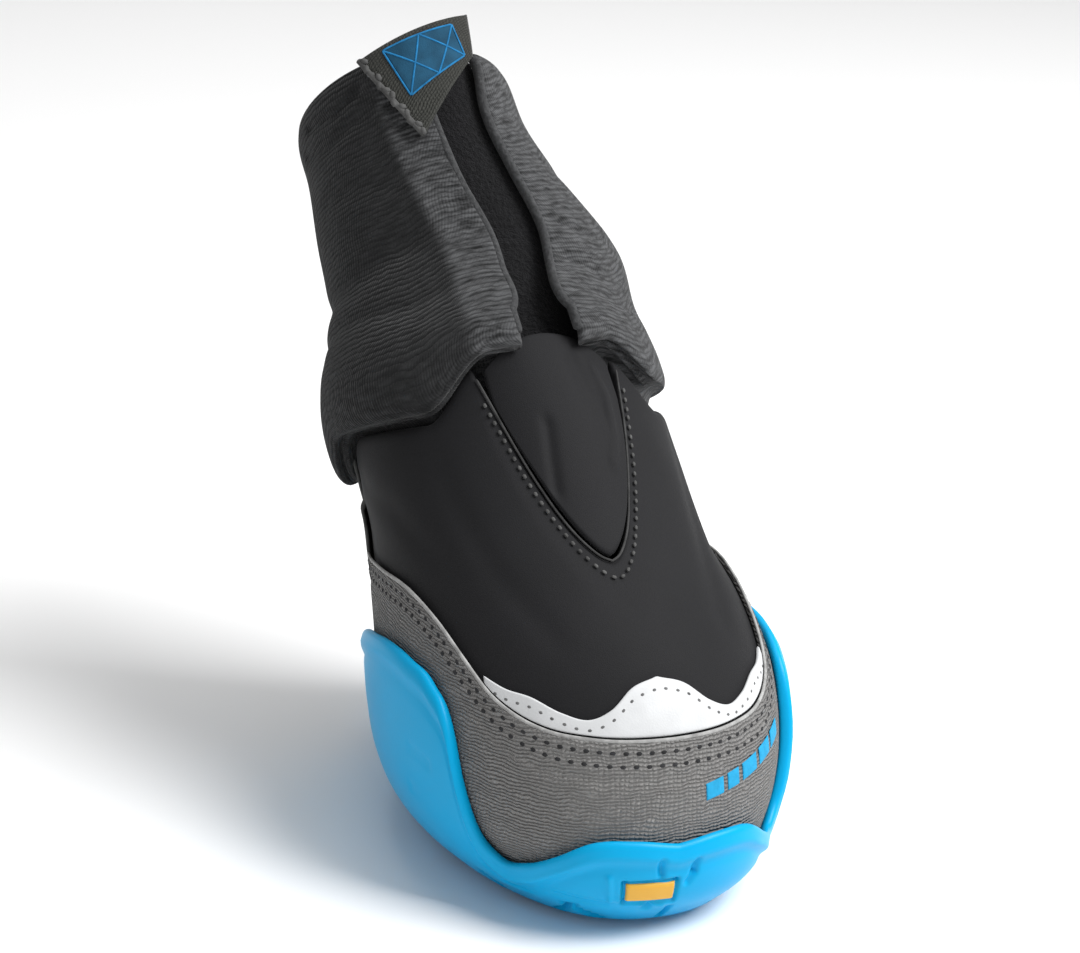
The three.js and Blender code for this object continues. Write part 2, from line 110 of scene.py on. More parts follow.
# Rows of the sleeve's outside as it is sewn: share of the way up, station, stand-off. It comes
# out over the upper's top edge, sags a little over it and runs up to the rolled collar.
SLEEVE_FOLD = np.array([
    [0.00, 0.880, -2.3], [0.06, 0.970, -2.3], [0.09, 1.008, -2.2], [0.105, 1.020, -0.6],
    [0.12, 1.017, 1.2], [0.14, 1.008, 2.6], [0.17, 1.020, 3.8], [0.21, 1.065, 4.2],
    [0.27, 1.140, 3.3], [0.35, 1.240, 1.2], [0.45, 1.370, 0.2], [0.60, 1.570, 0.0],
    [0.80, 1.800, 0.0], [0.94, 1.950, 0.1], [1.00, 2.000, -0.5],
])
# Share of the way up the sleeve at a station above its roll.
FOLD_SHARES = SLEEVE_FOLD[6:, [1, 0]]
SLIT_EDGES = np.array([
    [0.88, 15, 15], [1.03, 15, 15], [1.05, 14, 14], [1.12, 9, 8.5], [1.25, 9.5, 9],
    [1.5, 14, 12], [1.7, 17, 12], [1.95, 24, 12], [2.00, 24.5, 12],
])

# Edge of the sleeve's front panel, where a ridge stands. The knit between it and the slit is
# painted lighter as if lit, and the side beyond it is left in painted shade. Columns: station,
# angle left of the toe.
PANEL_EDGE = np.array([[0.98, 25], [1.24, 27], [1.42, 31], [1.66, 35], [2.00, 38]])

# Walls and clearances
GAP = 0.3
UPPER_WALL = 2.0
BAND_WALL = 1.0
TRIM_WALL = 0.6
GUSSET_WALL = 1.2
KNIT_WALL = 2.0
STRIP_WALL = 1.2
TAB_WALL = 1.6
RUBBER_WALL = 1.8
RUBBER_INNER = GAP + BAND_WALL + GAP
RUBBER_OUTER = RUBBER_INNER + RUBBER_WALL

# Edges, seams and ends round the boot, as shares of the station and as angles
SIDE_DROP = 0.07
BACK_DROP = 0.13
SEAM_LEAN = 16.0
RIGHT_FLATTER = 0.45
BAND_END = 125.0
PANEL_START = 126.2
SEAM_ANGLE = 125.6
PANEL_TOP = 0.76
GUSSET_HALF = 25.2
SLIT_HALF = 15.0

# Spot that the camera looks at
AIM = (6.6, 30.4, 49.9)

# Rubber sole and its tread
TREAD_DEPTH = 1.6
EDGE_ROUND = 8.0
FLAT_DIP = 0.25
TOE_SPRING = 2.2
SPRING_START = 34.0
CROSS_DOME = 1.1
FLOOR_TOP = 3.7
INSOLE_WALL = 1.5
PITCH_X, PITCH_Y = 14.5, 13.6
GROOVE_HALF = 0.5
PAD_END = 57.6
RIB_GROOVES = (57.6, 62.5)
STEP = (72.0, 77.0)
STARS = ((0, 1), (-1, 2), (1, 2))
STAR_RAY = 9.0
DIAMONDS = ((0, 0), (0, 2), (-1, 1), (1, 1))
DIAMOND = 5.0
BADGE = (11.0, 6.0)
BADGE_AT = 67.5
POCKET = 0.6
BAR_ANGLES = (-12.4, -0.6)
BAR_STATIONS = (0.086, 0.128)


def curve(table, x, column=1):
    """Cubic through a table's rows, each slope the mean of its neighbours weighted by their
    spacing, carried on straight past both ends."""
    knots = table[:, 0]
    values = table[:, column]
    gaps = np.diff(knots)
    slopes = np.diff(values) / gaps
    inner = (slopes[:-1] * gaps[1:] + slopes[1:] * gaps[:-1]) / (gaps[:-1] + gaps[1:])
    tangents = np.concatenate([slopes[:1], inner, slopes[-1:]])
    x = np.asarray(x, float)
    i = np.clip(np.searchsorted(knots, x, side="right") - 1, 0, len(knots) - 2)
    t = (np.clip(x, knots[0], knots[-1]) - knots[i]) / gaps[i]
    t2, t3 = t * t, t * t * t
    body = ((2 * t3 - 3 * t2 + 1) * values[i] + (t3 - 2 * t2 + t) * gaps[i] * tangents[i]
            + (3 * t2 - 2 * t3) * values[i + 1] + (t3 - t2) * gaps[i] * tangents[i + 1])
    before = tangents[0] * np.minimum(x - knots[0], 0)
    after = tangents[-1] * np.maximum(x - knots[-1], 0)
    return body + before + after


def smooth(x, low, high):
    """0 below low, 1 above high, and 3t^2 - 2t^3 between them."""
    t = np.clip((x - low) / (high - low), 0, 1)
    return t * t * (3 - 2 * t)


def folded(angle):
    """Angle from the toe, the same on both sides, 0 to 180."""
    return np.abs((np.asarray(angle, float) + 540) % 360 - 180)


def last(angle, v):
    """Point of the last: y and z run from the section's front point to its back point by
    (1 - cos angle) / 2, and x is the half width times the sole's outline mixed with an oval."""
    v = np.clip(v, 0, 2.5)
    front, front_z, back, back_z, half, side, sole, bow = (
        curve(SECTIONS, v, column) for column in range(1, 9))
    turn = np.radians(angle)
    t = (1 - np.cos(turn)) / 2
    oval = np.sin(turn + bow * np.sin(turn))
    outline = np.sign(np.sin(turn)) * curve(SOLE_OUTLINE, folded(angle))
    x = BALL_WIDTH * (half * (sole * outline + (1 - sole) * oval) + side)
    y = SOLE_LENGTH * (front + (back - front) * t) - BALL_SPOT
    z = COLLAR_HEIGHT * (front_z + (back_z - front_z) * t)
    return np.stack(np.broadcast_arrays(x, y, z), -1)


def normal(angle, v):
    """Outward unit normal of the last: the cross product of its two differences."""
    station = np.clip(v, 0.002, 2.4)
    around = last(angle + 0.5, v) - last(angle - 0.5, v)
    up = last(angle, station + 0.002) - last(angle, station - 0.002)
    cross = np.cross(around, up)
    return cross / np.linalg.norm(cross, axis=-1, keepdims=True)


def skin(angle, v, offset):
    """Point of the last moved along its normal by an offset."""
    angle, v, offset = np.broadcast_arrays(*(np.asarray(a, float) for a in (angle, v, offset)))
    return last(angle, v) + offset[..., None] * normal(angle, v)


def edged(count, share, steps=5):
    """Shares from 0 to 1: even in the middle, and spaced like points of a quarter circle
    within the given share of both ends."""
    bend = share * (1 - np.cos(np.linspace(0, math.pi / 2, steps + 1)))[:-1]
    return np.concatenate([bend, np.linspace(share, 1 - share, count), 1 - bend[::-1]])


def rounded(shares, share):
    """Half thickness factor: 1 in the middle, falling on a quarter circle to 0 at both ends."""
    near = np.minimum(np.minimum(shares, 1 - shares) / share, 1)
    return np.sqrt(np.maximum(1 - (1 - near) ** 2, 0))


def cells(index, ring):
    """Quads of an index grid, counter-clockwise from outside, closed round if it is a ring."""
    if ring:
        index = np.concatenate([index, index[:, :1]], 1)
    return np.stack([index[:-1, :-1], index[:-1, 1:], index[1:, 1:], index[1:, :-1]],
                    -1).reshape(-1, 4)


def pole_faces(grid):
    """Quads of a grid of rings whose first and last rings are each drawn to one point."""
    index = np.arange(grid.shape[0] * grid.shape[1]).reshape(grid.shape[:2])
    index[[0, -1]] = index[[0, -1], :1]
    return cells(index, True)


def mesh_object(name, points, faces, corner_uv=None):
    """Smooth-shaded mesh object from points in millimetres and quads. A quad with two equal
    corners side by side becomes a triangle."""
    keep = faces != np.roll(faces, 1, axis=1)
    whole = keep.sum(1) > 2
    faces, keep = faces[whole], keep[whole]
    used, compact = np.unique(faces[keep], return_inverse=True)
    starts = np.concatenate([[0], np.cumsum(keep.sum(1))[:-1]])
    mesh = bpy.data.meshes.new(name)
    mesh.vertices.add(len(used))
    mesh.vertices.foreach_set("co", (points[used] * MM).astype(np.float32).ravel())
    mesh.loops.add(len(compact))
    mesh.loops.foreach_set("vertex_index", compact.astype(np.int32).ravel())
    mesh.polygons.add(len(faces))
    mesh.polygons.foreach_set("loop_start", starts.astype(np.int32))
    mesh.polygons.foreach_set("use_smooth", np.ones(len(faces), bool))
    if corner_uv is not None:
        layer = mesh.uv_layers.new(name="Cloth")
        layer.data.foreach_set("uv", corner_uv[whole][keep].astype(np.float32).ravel())
    mesh.update(calc_edges=True)
    mesh.validate()
    piece = bpy.data.objects.new(name, mesh)
    bpy.context.scene.collection.objects.link(piece)
    return piece


def rings_object(name, grid):
    """Closed mesh object of a grid of rings in millimetres."""
    return mesh_object(name, grid.reshape(-1, 3), pole_faces(grid))


def place(piece, node, material):
    """Rides a piece on the boot, in the place of a solid of the frame, with its finish."""
    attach(piece, "root")
    if node:
        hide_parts(node)
    piece.data.materials.clear()
    piece.data.materials.append(material)
    return piece


def cloth_map(points, ring, level):
    """Lengths across and up the cloth in millimetres at each point of a grid: sums of the
    distances between neighbours, from its middle column and its first row. With level given,
    each row keeps one height, the mean of its points, with level added at each point."""
    if ring:
        points = np.concatenate([points, points[:, :1]], 1)
    across = np.cumsum(np.linalg.norm(np.diff(points, axis=1), axis=-1), 1)
    across = np.pad(across, ((0, 0), (1, 0)))
    across -= across[:, [points.shape[1] // 2]]
    up = np.cumsum(np.linalg.norm(np.diff(points, axis=0), axis=-1), 0)
    up = np.pad(up, ((1, 0), (0, 0)))
    if level is not None:
        up = up.mean(1, keepdims=True) + level
    return np.stack([across, up], -1)


def paint(piece, values):
    """Keeps a value for each point of the mesh, which the material reads as painted light: 1 where
    it paints the cloth lighter as if lit, 0 where it leaves it in painted shade.
    """
    layer = piece.data.attributes.new("painted_light", "FLOAT", "POINT")
    layer.data.foreach_set("value", np.asarray(values, np.float32))


def slab(name, outer, inner, ring=False, level=None):
    """Closed shell between two point grids of equal shape whose borders meet."""
    rows, columns = outer.shape[:2]
    front = np.arange(rows * columns).reshape(rows, columns)
    back = front + rows * columns
    back[[0, -1]] = front[[0, -1]]
    if not ring:
        back[:, [0, -1]] = front[:, [0, -1]]
    flat = cloth_map(outer, ring, level)
    spots = np.arange(flat.shape[0] * flat.shape[1]).reshape(flat.shape[:2])
    corner_uv = flat.reshape(-1, 2)[cells(spots, False)]
    faces = np.concatenate([cells(front, ring), cells(back, ring)[:, ::-1]])
    points = np.concatenate([outer.reshape(-1, 3), inner.reshape(-1, 3)])
    return mesh_object(name, points, faces, np.concatenate([corner_uv, corner_uv[:, ::-1]]))


def shell(name, columns, shares, spot, middle, half, ring=False, edge=0.02, end=0.02):
    """Wall over the last: spot gives the angle and station of a column and a share of the
    height, and middle gives the offset of the wall's middle. The wall is rounded at its free
    edges, within the given shares of its height and width."""
    column, share = np.meshgrid(columns, shares)
    angle, v = spot(column, share)
    thick = half * rounded(share, edge)
    if not ring:
        thick = thick * rounded((column - columns[0]) / (columns[-1] - columns[0]), end)
    centre = middle(angle, v)
    return slab(name, skin(angle, v, centre + thick), skin(angle, v, centre - thick), ring)


def trough(angle, v, path, width, depth, scale=(0.5, 80.0)):
    """Soft valley along a path of (angle, station) points: depth times exp(-(d / width)^2),
    where d is the distance in millimetres on the unrolled cloth."""
    path = np.asarray(path, float) * scale
    here = np.stack([angle * scale[0], v * scale[1]], -1)
    nearest = np.full(angle.shape, 1e9)
    for start, stop in zip(path[:-1], path[1:]):
        run = stop - start
        t = np.clip(((here - start) @ run) / (run @ run), 0, 1)
        gap = np.linalg.norm(here - start - t[..., None] * run, axis=-1)
        nearest = np.minimum(nearest, gap)
    return -depth * np.exp(-(nearest / width) ** 2)


def groove_mask(x, y):
    """1 in the tread's grooves and 0 on its lugs, with soft sides: lines along and across the
    pad, diagonal rays at the stars, and ribs at its end, less the diamonds and the badge. The
    badge stands in a pocket of part of that depth."""
    def line(distance, half):
        return 1 - smooth(np.abs(distance), half - 0.3, half + 0.35)

    pad = 1 - smooth(y, PAD_END - BALL_SPOT - 0.2, PAD_END - BALL_SPOT + 0.2)
    mask = np.zeros(x.shape)
    for i in range(-2, 3):
        mask = np.maximum(mask, line(x - i * PITCH_X, GROOVE_HALF) * pad)
    for k in range(4):
        mask = np.maximum(mask, line(y + k * PITCH_Y, GROOVE_HALF))
    for rib in RIB_GROOVES:
        mask = np.maximum(mask, line(y - rib + BALL_SPOT, GROOVE_HALF))
    mask = np.maximum(mask, line(y - np.mean(STEP) + BALL_SPOT, (STEP[1] - STEP[0]) / 2))
    for i, k in STARS:
        dx, dy = x - i * PITCH_X, y + k * PITCH_Y
        for along, off in ((dx + dy, dx - dy), (dx - dy, dx + dy)):
            ray = 1 - smooth(np.abs(along) / math.sqrt(2), STAR_RAY / 2 - 0.2, STAR_RAY / 2 + 0.2)
            mask = np.maximum(mask, line(off / math.sqrt(2), GROOVE_HALF) * ray)
    for i, k in DIAMONDS:
        size = np.abs(x - i * PITCH_X) + np.abs(y + k * PITCH_Y)
        mask = np.minimum(mask, smooth(size, DIAMOND * 0.707 - 0.1, DIAMOND * 0.707 + 0.3))
    badge = np.maximum(np.abs(x) - BADGE[0] / 2, np.abs(y - BADGE_AT + BALL_SPOT) - BADGE[1] / 2)
    mask = np.minimum(mask, smooth(badge, 1.4, 1.8))
    return np.maximum(mask, POCKET * (1 - smooth(badge, 0.1, 0.5)))


def underside(x, y):
    """Height of the underside: a parabola up to the toe and another across, with the middle
    taken as flat."""
    toe = np.maximum(0, (SPRING_START - BALL_SPOT - y) / SPRING_START)
    return TOE_SPRING * toe ** 2 + CROSS_DOME * (2 * x / BALL_WIDTH) ** 2 - FLAT_DIP


def rim_top(angle):
    """Station of the rubber's rim: the rim's table, the same on both sides."""
    return curve(RIM_EDGE, folded(angle))


def lug_lift(x, y):
    """How far the tread's grooves cut into the underside."""
    return TREAD_DEPTH * groove_mask(x, y)


def sole_profile(angle, shares, stations):
    """Rows of the sole's outside for a row of angles: the underside from its middle to its
    corner, rounded over the last millimetres, and then the side wall by stations."""
    corner = skin(angle, 0.0, RUBBER_OUTER)
    reach = np.hypot(corner[:, 0], corner[:, 1])
    run = (1 - shares[:, None]) * reach
    blend = np.clip(1 - run / EDGE_ROUND, 0, 1) ** 2
    x, y = corner[:, 0] * shares[:, None], corner[:, 1] * shares[:, None]
    z = (underside(x, y) + lug_lift(x, y)) * (1 - blend) + corner[:, 2] * blend
    under = np.stack([x, y, np.maximum(z, 0)], -1)
    side_angle, v = np.meshgrid(angle, stations)
    side = skin(side_angle, v, RUBBER_OUTER)
    fade = np.clip(1 - v / 0.1, 0, 1)
    side = skin(side_angle, v, RUBBER_OUTER - lug_lift(side[..., 0], side[..., 1]) * fade)
    return under, side


def tint(name, description, default):
    """Property of a colour, as linear red, green and blue."""
    return bpy.props.FloatVectorProperty(
        name=name, description=description, default=default, subtype="COLOR", size=3,
        min=0.0, max=1.0)


def length(name, description, default):
    """Property of a length, kept in metres and given here in millimetres."""
    return bpy.props.FloatProperty(
        name=name, description=description, default=default * MM, unit="LENGTH", precision=5,
        min=0.0)


class FinishColours(bpy.types.PropertyGroup):
    """Colours of the boot's cloths and rubber."""

    rubber: tint("Rubber", "Blue of the cup sole", (0.0, 0.37, 0.70))
    band: tint("Band", "Grey of the woven band", (0.26, 0.255, 0.25))
    softshell: tint("Softshell", "Near black of the padded upper", (0.0125, 0.0125, 0.0138))
    knit: tint("Knit", "Dark grey of the sleeve", (0.050, 0.051, 0.053))
    trim: tint("Trim", "Bright silver grey of the trim", (0.62, 0.63, 0.64))
    hem: tint("Hem", "Grey of the sleeve's rolled slit edges", (0.055, 0.056, 0.058))
    strip: tint("Loop strip", "Black of the closure strip", (0.009, 0.009, 0.01))
    tab: tint("Tab", "Green black of the collar tab", (0.046, 0.047, 0.042))
    thread: tint("Thread", "Light grey of the stitches", (0.085, 0.085, 0.084))
    dark_thread: tint("Dark thread", "Near black of the band's stitches", (0.03, 0.03, 0.032))
    trim_thread: tint("Trim thread", "Grey of the trim's stitches", (0.14, 0.14, 0.14))
    # Painted highlight: a grey lighter than the softshell for the line along the throat's folded V
    # edge, standing in for the light on the fold.
    fold_highlight: tint("Binding", "Dark grey of the folded edges", (0.05, 0.05, 0.05))
    piping: tint("Piping", "Light grey of the band's piping", (0.34, 0.34, 0.335))
    dashes: tint("Print", "Blue of the dashes printed on the band", (0.02, 0.32, 0.58))
    patch: tint("Patch", "Dark blue of the patch on the tab", (0.012, 0.062, 0.115))
    yarn: tint("Yarn", "Blue of the lines on the patch", (0.016, 0.16, 0.36))
    amber: tint("Amber", "Orange of the two inlays", (0.76, 0.40, 0.04))
    insole: tint("Insole", "Dark grey of the insole cloth", (0.03, 0.03, 0.032))


class ClothSizes(bpy.types.PropertyGroup):
    """Fine sizes of the cloths."""

    rib: length("Knit rib", "Height of one rib of the knit", 0.95)
    weave: length("Weave", "Pitch of the band's threads", 0.62)
    stitch: length("Stitch", "Length from one stitch of the band to the next", 2.1)


class StageSizes(bpy.types.PropertyGroup):
    """Camera and lights."""

    distance: length("Distance", "From the camera to the middle of the boot", 560.0)
    focal: bpy.props.FloatProperty(
        name="Focal length", description="Focal length of the lens in millimetres",
        default=105.65, min=10.0)
    turn: bpy.props.FloatProperty(
        name="Turn", description="Camera's turn from the toe to the boot's left side",
        default=math.radians(24.46), subtype="ANGLE")
    height: bpy.props.FloatProperty(
        name="Height", description="Camera's angle above the floor",
        default=math.radians(20.57), subtype="ANGLE")
    roll: bpy.props.FloatProperty(
        name="Roll", description="Turn of the picture about the line of sight",
        default=math.radians(4.5), subtype="ANGLE")
    key: bpy.props.FloatProperty(
        name="Key light", description="Power of the main light", default=10.5, unit="POWER")
    fill: bpy.props.FloatProperty(
        name="Fill light", description="Power of the fill light", default=0.15, unit="POWER")
    top: bpy.props.FloatProperty(
        name="Top light", description="Power of the light from above and behind",
        default=2.6, unit="POWER")
    surround: bpy.props.FloatProperty(
        name="Surround", description="Strength of the white light from all sides",
        default=0.37, min=0.0)


def add(tree, kind, inputs, **settings):
    """New shader node with its settings, whose inputs are sockets to link or constants."""
    node = tree.nodes.new(kind)
    for name, value in settings.items():
        setattr(node, name, value)
    for name, value in inputs.items():
        if isinstance(value, bpy.types.NodeSocket):
            tree.links.new(value, node.inputs[name])
        else:
            node.inputs[name].default_value = value
    return node


def maths(tree, operation, first, second=0.0):
    """Socket of a sum, product or other operation on sockets or numbers."""
    return add(tree, "ShaderNodeMath", {0: first, 1: second}, operation=operation).outputs[0]


def noise(tree, scale, detail=3.0, stretch=(1, 1, 1)):
    """Cloudy value from 0 to 1 on the piece's own coordinates, scale in cells a metre."""
    spot = add(tree, "ShaderNodeTexCoord", {}).outputs["Object"]
    moved = add(tree, "ShaderNodeMapping", {"Vector": spot, "Scale": stretch}).outputs[0]
    return add(tree, "ShaderNodeTexNoise", {"Vector": moved, "Scale": scale, "Detail": detail}
               ).outputs["Fac"]


def cloth_lengths(tree):
    """Sockets of the lengths across and up the cloth, in millimetres."""
    spot = add(tree, "ShaderNodeUVMap", {}, uv_map="Cloth").outputs[0]
    apart = add(tree, "ShaderNodeSeparateXYZ", {0: spot})
    return apart.outputs[0], apart.outputs[1]


def ripple(tree, along, pitch, shift=0.0):
    """Rows of round ribs: the size of the sine of half a turn for each pitch."""
    phase = maths(tree, "MULTIPLY_ADD", along, math.pi / pitch)
    phase.node.inputs[2].default_value = shift
    return maths(tree, "ABSOLUTE", maths(tree, "SINE", phase))


def value_of(tree, pattern):
    """Socket of a pattern, which is a function of the tree or noise of so many cells a metre."""
    return pattern(tree) if callable(pattern) else noise(tree, pattern)


def finish(name, colour, roughness, relief=None, depth=0.1, shade=900.0, vary=0.25, sheen=0.0,
           gloss=0.15):
    """Material of one colour. The pattern relief gives the bump's height, depth in millimetres,
    and the pattern shade darkens or lightens the colour, by as much as vary. Cloth has little
    gloss."""
    material = bpy.data.materials.new(name)
    material.use_nodes = True
    tree = material.node_tree
    shader = tree.nodes["Principled BSDF"]
    shader.inputs["Roughness"].default_value = roughness
    shader.inputs["Sheen Weight"].default_value = sheen
    shader.inputs["Sheen Roughness"].default_value = 0.5
    shader.inputs["Specular IOR Level"].default_value = gloss
    factor = value_of(tree, shade)
    dark = [c * (1 - vary) for c in colour] + [1]
    light = [min(c * (1 + vary), 1) for c in colour] + [1]
    ramp = add(tree, "ShaderNodeValToRGB", {"Fac": factor})
    ramp.color_ramp.elements[0].color = dark
    ramp.color_ramp.elements[1].color = light
    tree.links.new(ramp.outputs[0], shader.inputs["Base Color"])
    if relief:
        bump = add(tree, "ShaderNodeBump",
                   {"Height": value_of(tree, relief), "Distance": depth * MM, "Strength": 1.0})
        tree.links.new(bump.outputs[0], shader.inputs["Normal"])
    return material


def rubber_finish(colours):
    """Satin rubber with a fine grain and faint clouds of colour."""
    return finish("Moulded rubber", colours.rubber, 0.36, 2500.0, 0.02, 60.0, 0.06, gloss=0.18)


def amber_finish(colours):
    """Amber rubber, a little glossier than the sole."""
    return finish("Amber rubber", colours.amber, 0.45, 2500.0, 0.02, 200.0, 0.08, gloss=0.4)


def softshell_finish(colours):
    """Close woven cloth with a faint cloudiness."""
    def shade(tree):
        clouds = maths(tree, "MULTIPLY", noise(tree, 60.0), 0.5)
        return maths(tree, "ADD", clouds, maths(tree, "MULTIPLY", noise(tree, 2600.0), 0.5))

    return finish("Softshell", colours.softshell, 0.7, 5200.0, 0.05, shade, 0.35, 0.03)


def knit_finish(colours, sizes):
    """Ribs round the sleeve, each of small loops side by side, with short light dashes on the
    ribs' backs, partly flecks of yarn and partly painted sheen on the crests. The dashes fade
    where the painted light is low, and the painted light also lightens the knit as if lit on the
    front panel and the right side."""
    rib = sizes.rib / MM

    def rows(tree):
        up = cloth_lengths(tree)[1]
        wave = maths(tree, "MULTIPLY", noise(tree, 400.0, 3.0), rib * 1.2)
        return ripple(tree, maths(tree, "ADD", up, wave), rib)

    def yarn(tree, stretch):
        """Clouds drawn out along the ribs."""
        across, up = cloth_lengths(tree)
        spot = add(tree, "ShaderNodeCombineXYZ", {
            "X": maths(tree, "MULTIPLY", across, stretch),
            "Y": maths(tree, "MULTIPLY", up, 1 / rib)})
        return add(tree, "ShaderNodeTexNoise", {"Vector": spot.outputs[0], "Scale": 1.0,
                                                "Detail": 4.0}).outputs["Fac"]

    def relief(tree):
        loops = ripple(tree, cloth_lengths(tree)[0], rib * 0.6)
        both = maths(tree, "ADD", rows(tree), maths(tree, "MULTIPLY", loops, 0.35))
        return maths(tree, "ADD", both, maths(tree, "MULTIPLY", yarn(tree, 0.9), 1.5))

    def shade(tree):
        # Light dashes on the ribs' crests: partly flecks of the yarn, partly painted sheen where
        # the crests catch the light.
        light = maths(tree, "MULTIPLY", maths(tree, "ADD", rows(tree), 0.25),
                      maths(tree, "SUBTRACT", yarn(tree, 0.3), 0.38))
        # Painted light read from the points lifts the rib dashes and lightens the whole knit on
        # the front panel and the right side, as if lit.
        painted_light = add(tree, "ShaderNodeAttribute", {}, attribute_name="painted_light").outputs["Fac"]
        lift = maths(tree, "ADD", maths(tree, "MULTIPLY", painted_light, 2.6), 0.6)
        return maths(tree, "ADD", maths(tree, "MULTIPLY", light, lift),
                     maths(tree, "MULTIPLY", painted_light, 0.24))

    return finish("Rib knit", colours.knit, 0.95, relief, 0.2, shade, 0.7, 0.1)


def weave_finish(name, colour, pitch, depth, vary=0.3):
    """Uneven threads across the cloth with short slubs on them."""
    def relief(tree):
        across, up = cloth_lengths(tree)
        wave = maths(tree, "MULTIPLY", noise(tree, 300.0), pitch * 2.5)
        rows = ripple(tree, maths(tree, "ADD", up, wave), pitch)
        dots = ripple(tree, maths(tree, "ADD", across, wave), pitch * 1.3)
        both = maths(tree, "MULTIPLY", rows, maths(tree, "ADD", dots, 1.6))
        return maths(tree, "ADD", both, maths(tree, "MULTIPLY", noise(tree, 2200.0, 4.0), 2.0))

    def shade(tree):
        fibres = noise(tree, 900.0, 5.0, (1, 1, 4))
        clouds = noise(tree, 120.0)
        return maths(tree, "ADD", maths(tree, "MULTIPLY", fibres, 0.75),
                     maths(tree, "MULTIPLY", clouds, 0.25))

    return finish(name, colour, 0.85, relief, depth, shade, vary, 0.05)


def fuzz_finish(name, colour, depth):
    """Dense small loops: coarse and fine noise over each other."""
    def relief(tree):
        coarse = maths(tree, "MULTIPLY", noise(tree, 1300.0, 2.0), 1.4)
        return maths(tree, "ADD", coarse, noise(tree, 4200.0, 4.0))

    return finish(name, colour, 1.0, relief, depth, 1500.0, 0.8, 0.05)


def trim_finish(colours):
    """Smooth bright film with a fine grain."""
    return finish("Silver trim", colours.trim, 0.42, 3000.0, 0.03, 300.0, 0.1, gloss=0.3)


def thread_finish(name, colour):
    """Dull thread, lighter and darker from one stitch to the next."""
    return finish(name, colour, 0.8, 6000.0, 0.05, 500.0, 0.8)


def ellipsoids(name, centres, turns, sizes):
    """Many small ellipsoids: a grid of six columns by five rows of a unit sphere, turned by
    each stitch's frame and stretched by the three half sizes."""
    rings, sides = 5, 7
    polar, around = np.meshgrid(np.linspace(0, math.pi, rings),
                                np.linspace(0, 2 * math.pi, sides)[:-1], indexing="ij")
    unit = np.stack([np.sin(polar) * np.cos(around), np.sin(polar) * np.sin(around),
                     np.cos(polar)], -1).reshape(-1, 3) * sizes
    faces = pole_faces(polar)[:, ::-1]
    points = centres[:, None] + np.einsum("kj,njc->nkc", unit, turns)
    every = faces[None] + len(unit) * np.arange(len(centres))[:, None, None]
    return mesh_object(name, points.reshape(-1, 3), every.reshape(-1, 4))


def frames(points, outward):
    """Tangent, side and outward directions along a path, one row each per point."""
    tangent = np.gradient(points, axis=0)
    tangent /= np.linalg.norm(tangent, axis=1, keepdims=True)
    side = np.cross(outward, tangent)
    side /= np.linalg.norm(side, axis=1, keepdims=True)
    return np.stack([tangent, side, np.cross(tangent, side)], 1)


def even(points, step):
    """Indices into a path at even distances along it."""
    run = np.concatenate([[0], np.cumsum(np.linalg.norm(np.diff(points, axis=0), axis=1))])
    return np.unique(np.searchsorted(run, np.arange(step / 2, run[-1], step)))


def stitches(name, angle, v, offset, pitch, sizes):
    """Row of stitches along a path on the last, one for each pitch."""
    points = skin(angle, v, offset)
    pick = even(points, pitch)
    turns = frames(points, normal(angle, v))[pick]
    return ellipsoids(name, points[pick], turns, np.asarray(sizes))


def cord_along(name, angle, v, offset, radii, sides=12):
    """Closed tube along a path on the last, with an oval section that narrows to a point at
    both ends. radii are its half widths along the surface and out of it."""
    points = skin(angle, v, offset)
    turns = frames(points, normal(angle, v))
    around = np.linspace(0, 2 * math.pi, sides + 1)[:-1]
    taper = rounded(np.linspace(0, 1, len(points)), 0.01)[:, None, None]
    spread = (np.cos(around)[None, :, None] * turns[:, 1][:, None] * radii[0]
              + np.sin(around)[None, :, None] * turns[:, 2][:, None] * radii[1])
    grid = points[:, None] + spread * taper
    return mesh_object(name, grid.reshape(-1, 3), pole_faces(grid)[:, ::-1])


def upper_top(angle):
    """Station of the softshell's top edge, lower at the sides and lowest at the back."""
    side = SIDE_DROP * smooth(folded(angle), 24, 52)
    return 1 - side - BACK_DROP * smooth(folded(angle), 92, 130)


def throat(angle):
    """Station of the throat's V, the same on both sides."""
    return curve(THROAT_EDGE, folded(angle))


def softshell_top(angle):
    """Station of the softshell's edge: the throat's V in front and the ankle round the rest."""
    return np.minimum(throat(angle), upper_top(angle))


def leaning(angle, v):
    """Angle drawn forward near the seam of band and heel panel, more the higher it lies."""
    lean = SEAM_LEAN * smooth(v, 0.1, 0.65) * smooth(folded(angle), 90, 125)
    return angle - np.sign(np.sin(np.radians(angle))) * lean * smooth(
        180 - folded(angle), 5, 53.8)


def sleeve_outside(angle, v):
    """Offset of the sleeve's outside from the last, before its folds."""
    drop = upper_top(angle) - 1
    return curve(SLEEVE_ROWS, v - drop * np.clip((2 - v) / (1 - drop), 0, 1))


def colours():
    """The scene's colours of the cloths and rubber."""
    return bpy.context.scene.boot_colours


def sizes():
    """The scene's fine sizes of the cloths."""
    return bpy.context.scene.boot_cloth


